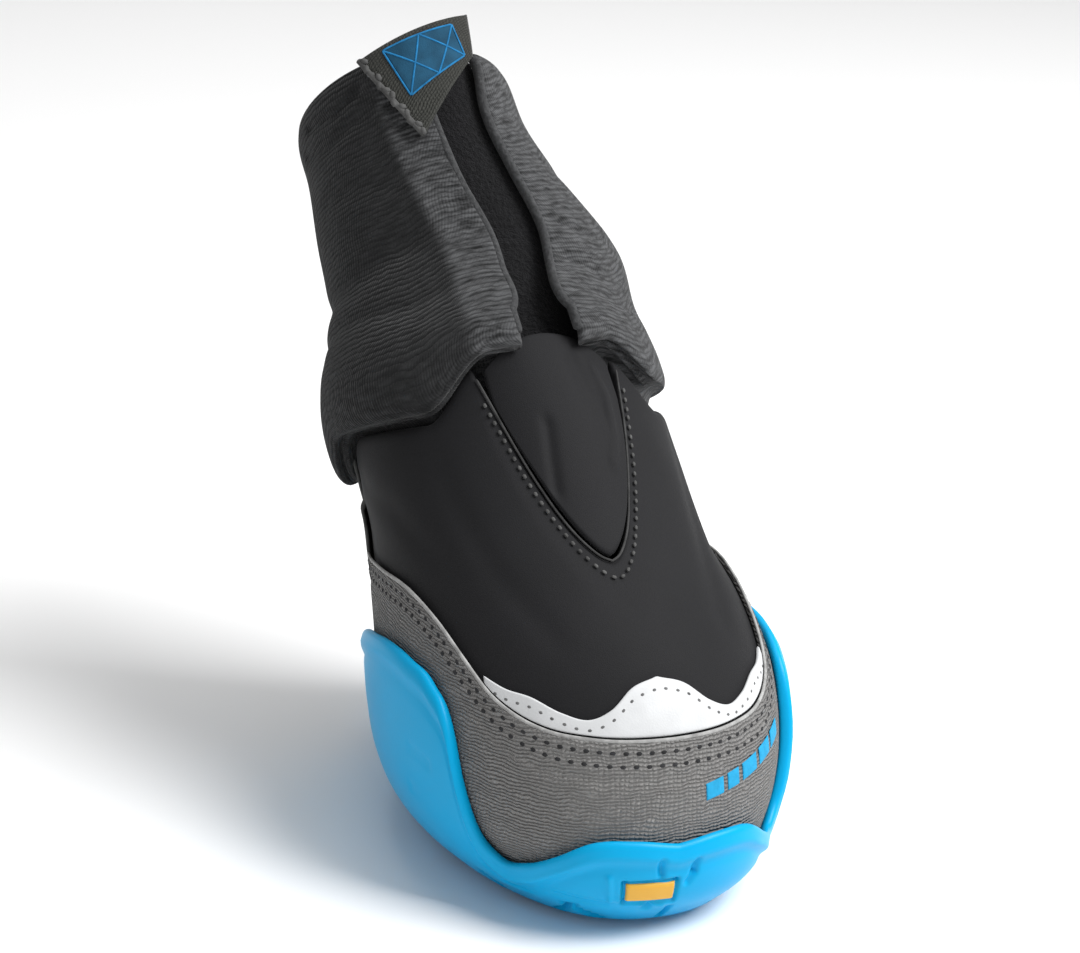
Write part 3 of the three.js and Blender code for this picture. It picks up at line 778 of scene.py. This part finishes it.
# Moulded lines round the toe bar: from (angle, station) to (angle, station), half width and
# depth in millimetres. A negative depth is a raised line.
TOE_MARKS = (
    (-4.0, 0.145, -4.2, 0.185, 0.35, 0.75),
    (4.6, 0.178, 4.0, 0.145, 0.35, 0.75),
    (4.0, 0.145, 2.4, 0.122, 0.35, 0.6),
    (-6.2, 0.072, -8.0, 0.030, 0.5, 0.9),
    (-16.4, 0.145, -16.2, 0.092, 0.4, -0.4),
    (-16.2, 0.092, -3.0, 0.070, 0.4, -0.3),
    (-30.0, 0.085, -17.0, 0.075, 0.4, 0.35),
    (-12.8, 0.082, -0.2, 0.082, 0.26, 0.8),
    (-0.2, 0.082, -0.2, 0.132, 0.26, 0.8),
    (-0.2, 0.132, -12.8, 0.132, 0.26, 0.8),
    (-12.8, 0.132, -12.8, 0.082, 0.26, 0.8),
    (-70.0, 0.300, -63.0, 0.290, 0.3, 0.3),
    (-71.0, 0.200, -61.0, 0.185, 0.3, 0.3),
    (70.0, 0.300, 62.0, 0.290, 0.3, 0.3),
    (72.0, 0.200, 60.0, 0.185, 0.3, 0.3),
)


def marks(angle, v, lines):
    """Depth of fine lines: depth times exp(-(d / half width)^2), d in millimetres from the
    line between its two ends, with one degree as 0.45 mm and one station as 72 mm."""
    around = (angle + 180) % 360 - 180
    here = np.stack([around * 0.45, v * 72.0], -1)
    total = np.zeros(angle.shape)
    for a0, v0, a1, v1, half, depth in lines:
        start = np.array([a0 * 0.45, v0 * 72.0])
        run = np.array([a1 * 0.45, v1 * 72.0]) - start
        t = np.clip(((here - start) @ run) / (run @ run), 0, 1)
        gap = np.linalg.norm(here - start - t[..., None] * run, axis=-1)
        total += depth * np.exp(-(gap / half) ** 2)
    return total


def cup_sole(name):
    """Rubber cup in one closed surface, by angle and row: underside, side wall, rolled lip,
    inside wall and floor. Just under the lip the wall swells into a bead. The angles are
    closer together at the toe, where the wall has its fine lines."""
    angle = np.concatenate([np.arange(-34, 10, 0.3), np.arange(10, 326, 0.75)])
    shares = np.concatenate([np.linspace(0, 0.8, 98), np.linspace(0.81, 1, 20)])
    under, low = sole_profile(angle, shares, np.linspace(0.008, 0.06, 6))
    top = rim_top(angle)
    walls = []
    for share in np.linspace(0.04, 1, 30):
        v = 0.06 + (top - 0.06) * share
        drop = (1 - share) * (top - 0.06) * COLLAR_HEIGHT * 0.5
        bead = 0.4 * np.exp(-((drop - 1.1) / 0.8) ** 2) - 0.25 * np.exp(-((drop - 2.8) / 0.9) ** 2)
        walls.append(skin(angle, v, RUBBER_OUTER + bead - marks(angle, v, TOE_MARKS)))
    lip = []
    middle, half = (RUBBER_OUTER + RUBBER_INNER) / 2, (RUBBER_OUTER - RUBBER_INNER) / 2
    for turn in np.radians([25, 50, 75, 105, 130, 155]):
        lip.append(skin(angle, top + 0.016 * math.sin(turn), middle + half * math.cos(turn)))
    inside = [skin(angle, top * share, RUBBER_INNER) for share in (1, 0.66, 0.33, 0)]
    floor_edge = inside[-1]
    floor = [np.stack([floor_edge[:, 0] * s, floor_edge[:, 1] * s,
                       np.full(len(angle), FLOOR_TOP)], -1) for s in (0.94, 0.5, 0)]
    return rings_object(name, np.concatenate([under, low, np.stack(walls + lip + inside + floor)]))


def block_plug(name, width, length, low, high, centre):
    """Rounded block: a superellipse section drawn in towards its top and bottom."""
    turn = np.linspace(0, 2 * math.pi, 48, endpoint=False)
    power = 0.25
    x = np.sign(np.cos(turn)) * np.abs(np.cos(turn)) ** power * width / 2
    y = np.sign(np.sin(turn)) * np.abs(np.sin(turn)) ** power * length / 2
    levels = [(0, low), (0.96, low), (1, low + 0.15), (1, high - 0.15), (0.96, high), (0, high)]
    return rings_object(name, np.stack([
        np.stack([x * s + centre[0], y * s + centre[1], np.full(len(turn), z)], -1)
        for s, z in levels]))


def toe_bar(name):
    """Amber bar let into the toe of the rubber."""
    return shell(
        name, np.linspace(*BAR_ANGLES, 40), edged(12, 0.2),
        lambda column, share: (column, BAR_STATIONS[0] + share * (BAR_STATIONS[1]
                                                                   - BAR_STATIONS[0])),
        lambda angle, v: RUBBER_OUTER - 0.3, 0.6, edge=0.2, end=0.06)


def insole_sheet(name):
    """Flat sheet on the cup's floor with a soft edge."""
    angle = np.linspace(0, 360, 240, endpoint=False)
    rim = skin(angle, 0.0, -3.6)
    low = FLOOR_TOP + GAP
    high = low + INSOLE_WALL
    levels = [(0, low), (0.97, low), (1, low + 0.4), (1, high - 0.4), (0.97, high),
              (0.5, high), (0, high)]
    return rings_object(name, np.stack([
        np.stack([rim[:, 0] * s, rim[:, 1] * s, np.full(len(angle), z)], -1)
        for s, z in levels]))


# Creases listed one by one: (angle, station) points, width and depth in millimetres.
UPPER_CREASES = (
    (((-27, 0.62), (-40, 0.72), (-50, 0.86)), 2.6, 0.3),
    (((34, 0.62), (48, 0.74), (60, 0.88)), 2.6, 0.3),
    (((-60, 0.72), (-78, 0.80), (-96, 0.83)), 3.0, 0.35),
    (((64, 0.68), (84, 0.78), (110, 0.80)), 3.0, 0.35),
    (((140, 0.60), (165, 0.56), (190, 0.57), (215, 0.62)), 3.0, 0.5),
)
SLEEVE_CREASES = (
    (((-150, 1.36), (-110, 1.30), (-70, 1.31), (-45, 1.36)), 3.4, 0.8),
    (((18, 1.26), (34, 1.22), (48, 1.24)), 1.6, 0.6),
    (((16, 1.38), (36, 1.34), (58, 1.36)), 1.6, 0.5),
    (((20, 1.17), (40, 1.14), (60, 1.15)), 1.4, 0.5),
    (((150, 1.33), (180, 1.27), (210, 1.33)), 3.6, 1.2),
    (((-16, 1.60), (-40, 1.55), (-80, 1.60)), 3.0, 0.35),
    (((30, 1.62), (60, 1.58), (110, 1.64)), 3.0, 0.35),
    (((-46, 1.90), (-62, 1.86), (-84, 1.90)), 1.6, 0.5),
    (((-50, 1.80), (-72, 1.76), (-96, 1.82)), 1.8, 0.5),
    (((-20, 1.20), (-44, 1.17), (-80, 1.20), (-110, 1.17)), 1.8, 0.4),
)


def creased(angle, v, creases):
    """Sum of the listed troughs on angles from -180 to 180."""
    around = (angle + 180) % 360 - 180
    total = np.zeros(angle.shape)
    for path, width, depth in creases:
        total += trough(around, v, path, width, depth)
        if max(a for a, _ in path) > 180:
            total += trough(around + 360, v, path, width, depth)
    return total


def softshell(name):
    """Hollow upper: full between its seams, creased where the foot bends it."""
    columns = np.linspace(0, 360, 420, endpoint=False)

    def middle(angle, v):
        near_edge = (softshell_top(angle) - v) * COLLAR_HEIGHT * 0.45
        puff = 0.35 * smooth(near_edge, 0.5, 6)
        return puff + creased(angle, v, UPPER_CREASES) - UPPER_WALL / 2 - 0.15

    return shell(name, columns, edged(90, 0.02),
                 lambda column, share: (column, share * softshell_top(column)), middle, 0.95,
                 ring=True)


# Folds of the throat gusset: (angle, station) points, width and depth in millimetres.
GUSSET_FOLDS = (
    (((-8.9, 0.91), (-10.7, 0.87), (-11.7, 0.84)), 1.0, 0.45),
    (((7.5, 0.985), (9.5, 0.945), (13.0, 0.925)), 1.6, 0.5),
    (((15.2, 0.975), (17.1, 0.94), (14.6, 0.895), (10.6, 0.865)), 0.9, -0.45),
)


def gusset_swell(angle, v):
    """Outside of the gusset: half a sine up it, a parabola across it and its small folds."""
    across = 1 - (angle / GUSSET_HALF) ** 2
    rise = np.clip((v - 0.735) / 0.3, 0, 1)
    swell = 2.0 * across * np.sin(math.pi * rise ** 0.8 * 0.85)
    return -GAP + swell + creased(angle, v, GUSSET_FOLDS)


def throat_panel(name):
    """Padded panel in the throat, from just above the V's edge up to a line that is a cosine
    across it, with its outside swollen and folded."""
    def spot(angle, share):
        low = throat(np.abs(angle) + 0.55) + 0.0045
        crown = 0.055 * np.cos(np.radians(90 * angle / GUSSET_HALF))
        high = np.maximum(0.985 + crown, low + 0.01)
        return angle, low + (high - low) * share

    half = GUSSET_WALL / 2
    return shell(name, np.linspace(-GUSSET_HALF, GUSSET_HALF, 110), edged(60, 0.03), spot,
                 lambda angle, v: gusset_swell(angle, v) - half, half, edge=0.03, end=0.03)


def heel_cover(name):
    """Even wall round the heel, whose front edges lean as the seam does, with half the depth
    of the upper's creases."""
    def spot(angle, share):
        v = 0.02 + share * (PANEL_TOP - 0.02)
        return leaning(angle, v), v

    half = BAND_WALL / 2
    return shell(name, np.linspace(PANEL_START, 360 - PANEL_START, 150), edged(60, 0.02), spot,
                 lambda angle, v: GAP + half + 0.5 * creased(angle, v, UPPER_CREASES), half)


def band_wall(name):
    """Woven band round the toe and sides, with a shallow trough under each row of thread."""
    def spot(angle, share):
        v = 0.02 + share * (curve(BAND_EDGE, folded(angle)) - 0.02)
        return leaning(angle, v), v

    def middle(angle, v):
        down = (curve(BAND_EDGE, folded(angle)) - v) * COLLAR_HEIGHT * 0.55
        rows = np.exp(-((down - 2.6) / 0.8) ** 2) + np.exp(-((down - 5.6) / 0.8) ** 2)
        return GAP + BAND_WALL / 2 - 0.18 * rows

    return shell(name, np.linspace(-BAND_END, BAND_END, 420), edged(70, 0.02), spot, middle,
                 BAND_WALL / 2, end=0.004)


# Raised dashes printed on the right of the band: first and last angle of each.
BAR_DASHES = ((8.0, 13.5), (14.8, 19.0), (20.4, 27.0), (28.4, 35.0), (36.4, 43.0))


def print_dash(name, start, stop):
    """Thin raised dash on the band, rising in a straight line as it runs to the side."""
    def spot(angle, share):
        slant = 0.298 + (angle - 8.0) * 0.0014
        return angle, slant + share * 0.036

    return shell(name, np.linspace(start, stop, 24), edged(10, 0.2), spot,
                 lambda angle, v: GAP + BAND_WALL + 0.02, 0.16, edge=0.2, end=0.15)


def toe_trim_wall(name):
    """Thin even wall from just above the band's edge up to the trim's own edge."""
    def spot(angle, share):
        low = curve(BAND_EDGE, folded(angle)) + 0.006
        return angle, low + (curve(TRIM_EDGE, folded(angle)) - low) * share

    return shell(name, np.linspace(-48, 48, 180), edged(16, 0.08), spot,
                 lambda angle, v: GAP + TRIM_WALL / 2, TRIM_WALL / 2, edge=0.08, end=0.01)


def sleeve_spot(angle, share, right):
    """Angle and station of the sleeve at a share of the way up: the station of the fold,
    lowered with the upper's top edge and raised a little at the roll on the right, and the
    angle drawn out evenly between the two edges of the slit."""
    v = curve(SLEEVE_FOLD, share, 1)
    drop = upper_top(angle) - 1
    v = v + drop * np.clip(2 - v, 0, 1) + 0.025 * right * np.exp(-((share - 0.15) / 0.05) ** 2)
    row = 0.95 + (np.maximum(v, 1.1) - 0.95) * smooth(share, 0.10, 0.15)
    reach = np.where(angle < 180, curve(SLIT_EDGES, row, 1), curve(SLIT_EDGES, row, 2))
    return 180 + (angle - 180) * (180 - reach) / (180 - SLIT_HALF), v


def sleeve_wall(name):
    """Knit sleeve from one side of the slit round to the other. A row's stand-off comes from its
    share of the way up, and the front panel left of the slit is flat up to a ridge. Its points
    carry painted light: lighter as if lit on the front panel and the right side, and painted shade
    on the left side and round the back."""
    angles = np.linspace(SLIT_HALF, 360 - SLIT_HALF, 300)
    angle, share = np.meshgrid(angles, edged(125, 0.012))
    right = smooth(np.sin(np.radians(angle)), 0.2, 0.8)
    angle, v = sleeve_spot(angle, share, right)
    loose = smooth(share, 0.2, 0.3) * (1 - smooth(share, 0.93, 0.99))
    ridge_at = 360 - curve(PANEL_EDGE, v)
    ridge = 0.7 * np.exp(-((angle - ridge_at) / 5) ** 2) * smooth(v, 1.1, 1.3)
    off = curve(SLEEVE_FOLD, share, 2)
    off = np.where(off > 0, off * (1 - RIGHT_FLATTER * right), off)
    centre = off - KNIT_WALL / 2 + ridge * loose
    centre = centre + creased(angle, v, SLEEVE_CREASES) * loose
    tilt = -14.0 * smooth(angle, 12, 95) * (1 - smooth(angle, 110, 200))
    thick = KNIT_WALL / 2 * rounded(share, 0.012)
    thick = thick * rounded((angles - angles[0]) / (angles[-1] - angles[0]), 0.006)
    piece = slab(name, skin(angle, v, centre + thick), skin(angle, v, centre - thick),
                 level=tilt)
    # Painted light: 1 on the front panel left of the slit and on the right side up to 90 degrees,
    # where the knit is painted lighter as if lit. It falls to 0, painted shade, on the left side
    # beyond the ridge and round the back.
    light = np.where(angle > 180, smooth(angle, ridge_at - 3, ridge_at + 3),
                     1 - smooth(angle, 90, 130))
    paint(piece, np.concatenate([light.ravel(), light[1:-1, 1:-1].ravel()]))
    return piece


def strip_wall(name):
    """Loop strip behind the slit, a little uneven."""
    def middle(angle, v):
        inside = np.minimum(sleeve_outside(angle, v), 0) - KNIT_WALL
        return inside - 2 * GAP - STRIP_WALL / 2

    return shell(name, np.linspace(-20, 31, 60), edged(100, 0.02),
                 lambda angle, share: (angle, 0.93 + share * 1.07), middle, STRIP_WALL / 2)


# Corners of the tab, as (angle, station), from its top left on clockwise.
TAB_CORNERS = ((-41, 2.0), (22, 2.125), (16, 1.95), (-21, 1.66))

# Lines of the blue lattice on the tab: its frame and the lines across it.
FRAME = ((-27.8, 2.002), (8.8, 2.068), (10.6, 1.946), (-20.4, 1.808))
LATTICE = tuple(zip(FRAME, FRAME[1:] + FRAME[:1])) + (
    ((-27.8, 2.002), (-5.0, 1.877)), ((-5.0, 1.877), (8.8, 2.068)),
    ((-20.4, 1.808), (-9.5, 2.035)), ((-9.5, 2.035), (10.6, 1.946)),
)


def tab_spot(across, down, corners=TAB_CORNERS):
    """Angle and station of a point of the tab, mixed from its four corners by shares."""
    a, b, c, d = corners
    return tuple((a[i] * (1 - across) + b[i] * across) * (1 - down)
                 + (d[i] * (1 - across) + c[i] * across) * down for i in (0, 1))


def tab_wall(name):
    """Soft tab over the collar's front."""
    return shell(name, edged(60, 0.03), edged(50, 0.04),
                 lambda column, share: tab_spot(column, 1 - share),
                 lambda angle, v: GAP + TAB_WALL / 2, TAB_WALL / 2, edge=0.05, end=0.05)


def tab_patch(name):
    """Thin patch on the tab, inside the frame of the lattice."""
    return shell(name, np.linspace(0, 1, 40), edged(20, 0.05),
                 lambda column, share: tab_spot(column, 1 - share, FRAME),
                 lambda angle, v: GAP + TAB_WALL - 0.02, 0.1, edge=0.05, end=0.03)


def edge_line(name, angle, v, offset, radii, node, material):
    """Tube along a path on the last, placed on the boot."""
    piece = cord_along(name, np.asarray(angle, float), np.asarray(v, float), offset, radii)
    return place(piece, node, material)


class BOOT_OT_sole(bpy.types.Operator):
    """Rubber cup with its tread, the amber inlays and the insole"""

    bl_idname = "boot.sole"
    bl_label = "Build the sole"

    def execute(self, context):
        amber = amber_finish(colours())
        place(cup_sole("cup_sole"), "outsole", rubber_finish(colours()))
        place(toe_bar("amber_bar"), "toe_plug", amber)
        badge = block_plug("amber_badge", *BADGE, 0.2, 1.3, (0, BADGE_AT - BALL_SPOT))
        place(badge, "tread_plug", amber)
        cloth = finish("Insole cloth", colours().insole, 0.9, 4000.0, 0.1)
        place(insole_sheet("insole_sheet"), "insole", cloth)
        return {"FINISHED"}


class BOOT_OT_upper(bpy.types.Operator):
    """Softshell upper with its throat gusset and heel panel"""

    bl_idname = "boot.upper"
    bl_label = "Build the upper"

    def execute(self, context):
        cloth = softshell_finish(colours())
        thread = thread_finish("Light thread", colours().thread)
        place(softshell("softshell_upper"), "upper", cloth)
        panel = place(throat_panel("throat_panel"), "throat_gusset", cloth)
        place(heel_cover("heel_cover"), "heel_panel", cloth)
        angle = np.linspace(-28, 28, 440)
        # Lighter line along the V's folded edge: a painted highlight of the fold.
        edge_line("throat_edge", angle, throat(angle) - 0.003, 0.06, (0.2, 0.17), "upper",
                  thread_finish("Fold highlight", colours().fold_highlight))
        place(stitches("throat_stitches", angle, throat(angle) - 0.031, 0.2, 1.75,
                       (0.5, 0.33, 0.2)), "upper", thread)
        station = np.linspace(0.57, 0.89, 160)
        offset = 0.95 - 0.8 * smooth(station, 0.745, 0.775)
        for side, name in ((1, "seam_right"), (-1, "seam_left")):
            turn = side * leaning(SEAM_ANGLE, station)
            edge_line(name, turn, station, offset, (0.4, 0.32), "upper", thread)
        return {"FINISHED"}


class BOOT_OT_band(bpy.types.Operator):
    """Woven band with its trim, piping and rows of thread"""

    bl_idname = "boot.band"
    bl_label = "Build the band"

    def execute(self, context):
        weave = weave_finish("Canvas band", colours().band, sizes().weave / MM, 0.25)
        trim = trim_finish(colours())
        dark = thread_finish("Dark thread", colours().dark_thread)
        dashes = finish("Blue print", colours().dashes, 0.7, 2500.0, 0.03)
        pitch = sizes().stitch / MM
        place(band_wall("band_wall"), "mudguard", weave)
        place(toe_trim_wall("toe_trim_wall"), "toe_trim", trim)
        angle = np.linspace(-112, 112, 900)
        piping = thread_finish("Band piping", colours().piping)
        edge_line("band_piping", angle, curve(BAND_EDGE, folded(angle)) - 0.001, 1.05,
                  (0.32, 0.26), "mudguard", piping)
        for row, down in (("upper", 0.024), ("lower", 0.052)):
            line = curve(BAND_EDGE, folded(angle)) - down
            place(stitches("band_stitches_" + row, angle, line, 1.16, pitch,
                           (0.62, 0.42, 0.2)), "mudguard", dark)
        angle = np.linspace(-46, 46, 500)
        place(stitches("trim_stitches", angle, curve(TRIM_EDGE, folded(angle)) - 0.020, 0.86,
                       pitch, (0.42, 0.3, 0.1)), "toe_trim",
              thread_finish("Trim thread", colours().trim_thread))
        for number, (start, stop) in enumerate(BAR_DASHES):
            place(print_dash("blue_dash_%d" % (number + 1), start, stop), "mudguard",
                  dashes)
        return {"FINISHED"}


class BOOT_OT_sleeve(bpy.types.Operator):
    """Knit sleeve and the loop strip in its slit"""

    bl_idname = "boot.sleeve"
    bl_label = "Build the sleeve"

    def execute(self, context):
        knit = knit_finish(colours(), sizes())
        place(sleeve_wall("knit_sleeve"), "gaiter", knit)
        hem = fuzz_finish("Knit hem", colours().hem, 0.2)
        v = np.linspace(1.03, 1.985, 420)
        for name, column, side in (("hem_right", 1, 1), ("hem_left", 2, -1)):
            angle = side * (curve(SLIT_EDGES, np.maximum(v, 1.1), column) + 0.4)
            offset = np.minimum(curve(SLEEVE_FOLD, curve(FOLD_SHARES, v), 2), 4) - 0.9
            edge_line(name, angle, v, offset, (0.75, 0.95), "gaiter", hem)
        fuzz = fuzz_finish("Loop fuzz", colours().strip, 0.5)
        place(strip_wall("loop_strip"), "closure_strip", fuzz)
        return {"FINISHED"}


class BOOT_OT_tab(bpy.types.Operator):
    """Collar tab with its borders and blue lattice"""

    bl_idname = "boot.tab"
    bl_label = "Build the collar tab"

    def execute(self, context):
        cloth = weave_finish("Tab cloth", colours().tab, 0.5, 0.12)
        thread = thread_finish("Tab border", colours().thread)
        place(tab_wall("tab_wall"), "collar_tab", cloth)
        down = np.linspace(0, 1, 300)
        angle, v = tab_spot(0.015, down)
        edge_line("tab_border", angle, v, 1.7, (0.5, 0.45), "collar_tab", thread)
        sway = 0.022 * np.sin(down * math.pi * 9)
        angle, v = tab_spot(0.025 + sway, 0.02 + 0.96 * down)
        place(stitches("tab_stitches", angle, v, 1.9, 1.5, (0.85, 0.55, 0.4)), "collar_tab",
              thread)
        angle, v = tab_spot(0.99, down)
        edge_line("tab_fold", angle, v, 1.2, (0.28, 0.5), "collar_tab", thread)
        patch = finish("Blue patch", colours().patch, 0.8, 4000.0, 0.05, 300.0, 0.7)
        place(tab_patch("tab_patch"), "collar_tab", patch)
        blue = finish("Blue yarn", colours().yarn, 0.8, 4000.0, 0.05, 700.0, 0.6)
        for number, (start, stop) in enumerate(LATTICE):
            share = np.linspace(0, 1, 60)
            angle, v = (start[i] + (stop[i] - start[i]) * share for i in (0, 1))
            edge_line("tab_line_%d" % (number + 1), angle, v, 2.0, (0.16, 0.1), "collar_tab",
                      blue)
        return {"FINISHED"}


def area_light(name, power, size, place_at, aim):
    """Square soft light that points at the aim."""
    data = bpy.data.lights.new(name, "AREA")
    data.energy = power
    data.size = size
    light = bpy.data.objects.new(name, data)
    light.location = place_at
    light.rotation_euler = (Vector(aim) - Vector(place_at)).to_track_quat("-Z", "Y").to_euler()
    bpy.context.scene.collection.objects.link(light)
    return light


class BOOT_OT_stage(bpy.types.Operator):
    """Pale floor, soft lights and the camera"""

    bl_idname = "boot.stage"
    bl_label = "Set the stage"

    def execute(self, context):
        stage = context.scene.boot_stage
        aim = Vector(AIM) * MM
        out = Vector((-math.sin(stage.turn) * math.cos(stage.height),
                      -math.cos(stage.turn) * math.cos(stage.height), math.sin(stage.height)))
        data = bpy.data.cameras.new("Camera")
        data.lens = stage.focal
        camera = bpy.data.objects.new("Camera", data)
        spin = Matrix.Rotation(stage.roll, 4, "Z")
        look = (-out).to_track_quat("-Z", "Y").to_matrix().to_4x4()
        camera.matrix_world = Matrix.Translation(aim + out * stage.distance) @ look @ spin
        context.scene.collection.objects.link(camera)
        context.scene.camera = camera
        bpy.ops.mesh.primitive_plane_add(size=3, location=(0, 0, 0))
        floor = context.active_object
        floor.name = "Floor"
        floor.data.materials.append(finish("Pale floor", (0.95, 0.95, 0.95), 0.9, vary=0.0))
        area_light("Key", stage.key, 0.5, (0.45, -0.35, 0.75), aim)
        area_light("Fill", stage.fill, 0.7, (-0.7, -0.5, 0.45), aim)
        area_light("Top", stage.top, 0.6, (0.1, 0.3, 0.9), aim)
        world = bpy.data.worlds.new("Studio")
        world.use_nodes = True
        sky = world.node_tree.nodes["Background"]
        sky.inputs["Color"].default_value = (1, 1, 1, 1)
        sky.inputs["Strength"].default_value = stage.surround
        context.scene.world = world
        context.scene.view_settings.view_transform = "Standard"
        return {"FINISHED"}


STEPS = (BOOT_OT_sole, BOOT_OT_upper, BOOT_OT_band, BOOT_OT_sleeve, BOOT_OT_tab, BOOT_OT_stage)


class BOOT_PT_panel(bpy.types.Panel):
    """Lists the boot's building steps and sizes"""

    bl_label = "Dog boot"
    bl_idname = "BOOT_PT_panel"
    bl_space_type = "VIEW_3D"
    bl_region_type = "UI"
    bl_category = "Dog boot"

    def draw(self, context):
        for step in STEPS:
            self.layout.operator(step.bl_idname)
        for group in ("boot_colours", "boot_cloth", "boot_stage"):
            values = getattr(context.scene, group)
            for name in values.bl_rna.properties.keys():
                if name not in ("rna_type", "name"):
                    self.layout.prop(values, name)


GROUPS = (("boot_colours", FinishColours), ("boot_cloth", ClothSizes), ("boot_stage", StageSizes))


def register():
    """Adds the sizes and colours to the scene, and the operators and panel."""
    for name, group in GROUPS:
        bpy.utils.register_class(group)
        setattr(bpy.types.Scene, name, bpy.props.PointerProperty(type=group))
    for cls in STEPS + (BOOT_PT_panel,):
        bpy.utils.register_class(cls)


def unregister():
    """Takes away what register adds."""
    for cls in STEPS + (BOOT_PT_panel,):
        bpy.utils.unregister_class(cls)
    for name, group in GROUPS:
        delattr(bpy.types.Scene, name)
        bpy.utils.unregister_class(group)


def main():
    """Builds the boot and the stage."""
    register()
    for name in ("sole", "upper", "band", "sleeve", "tab", "stage"):
        getattr(bpy.ops.boot, name)()
    bpy.context.view_layer.update()


if __name__ == "__main__":
    main()
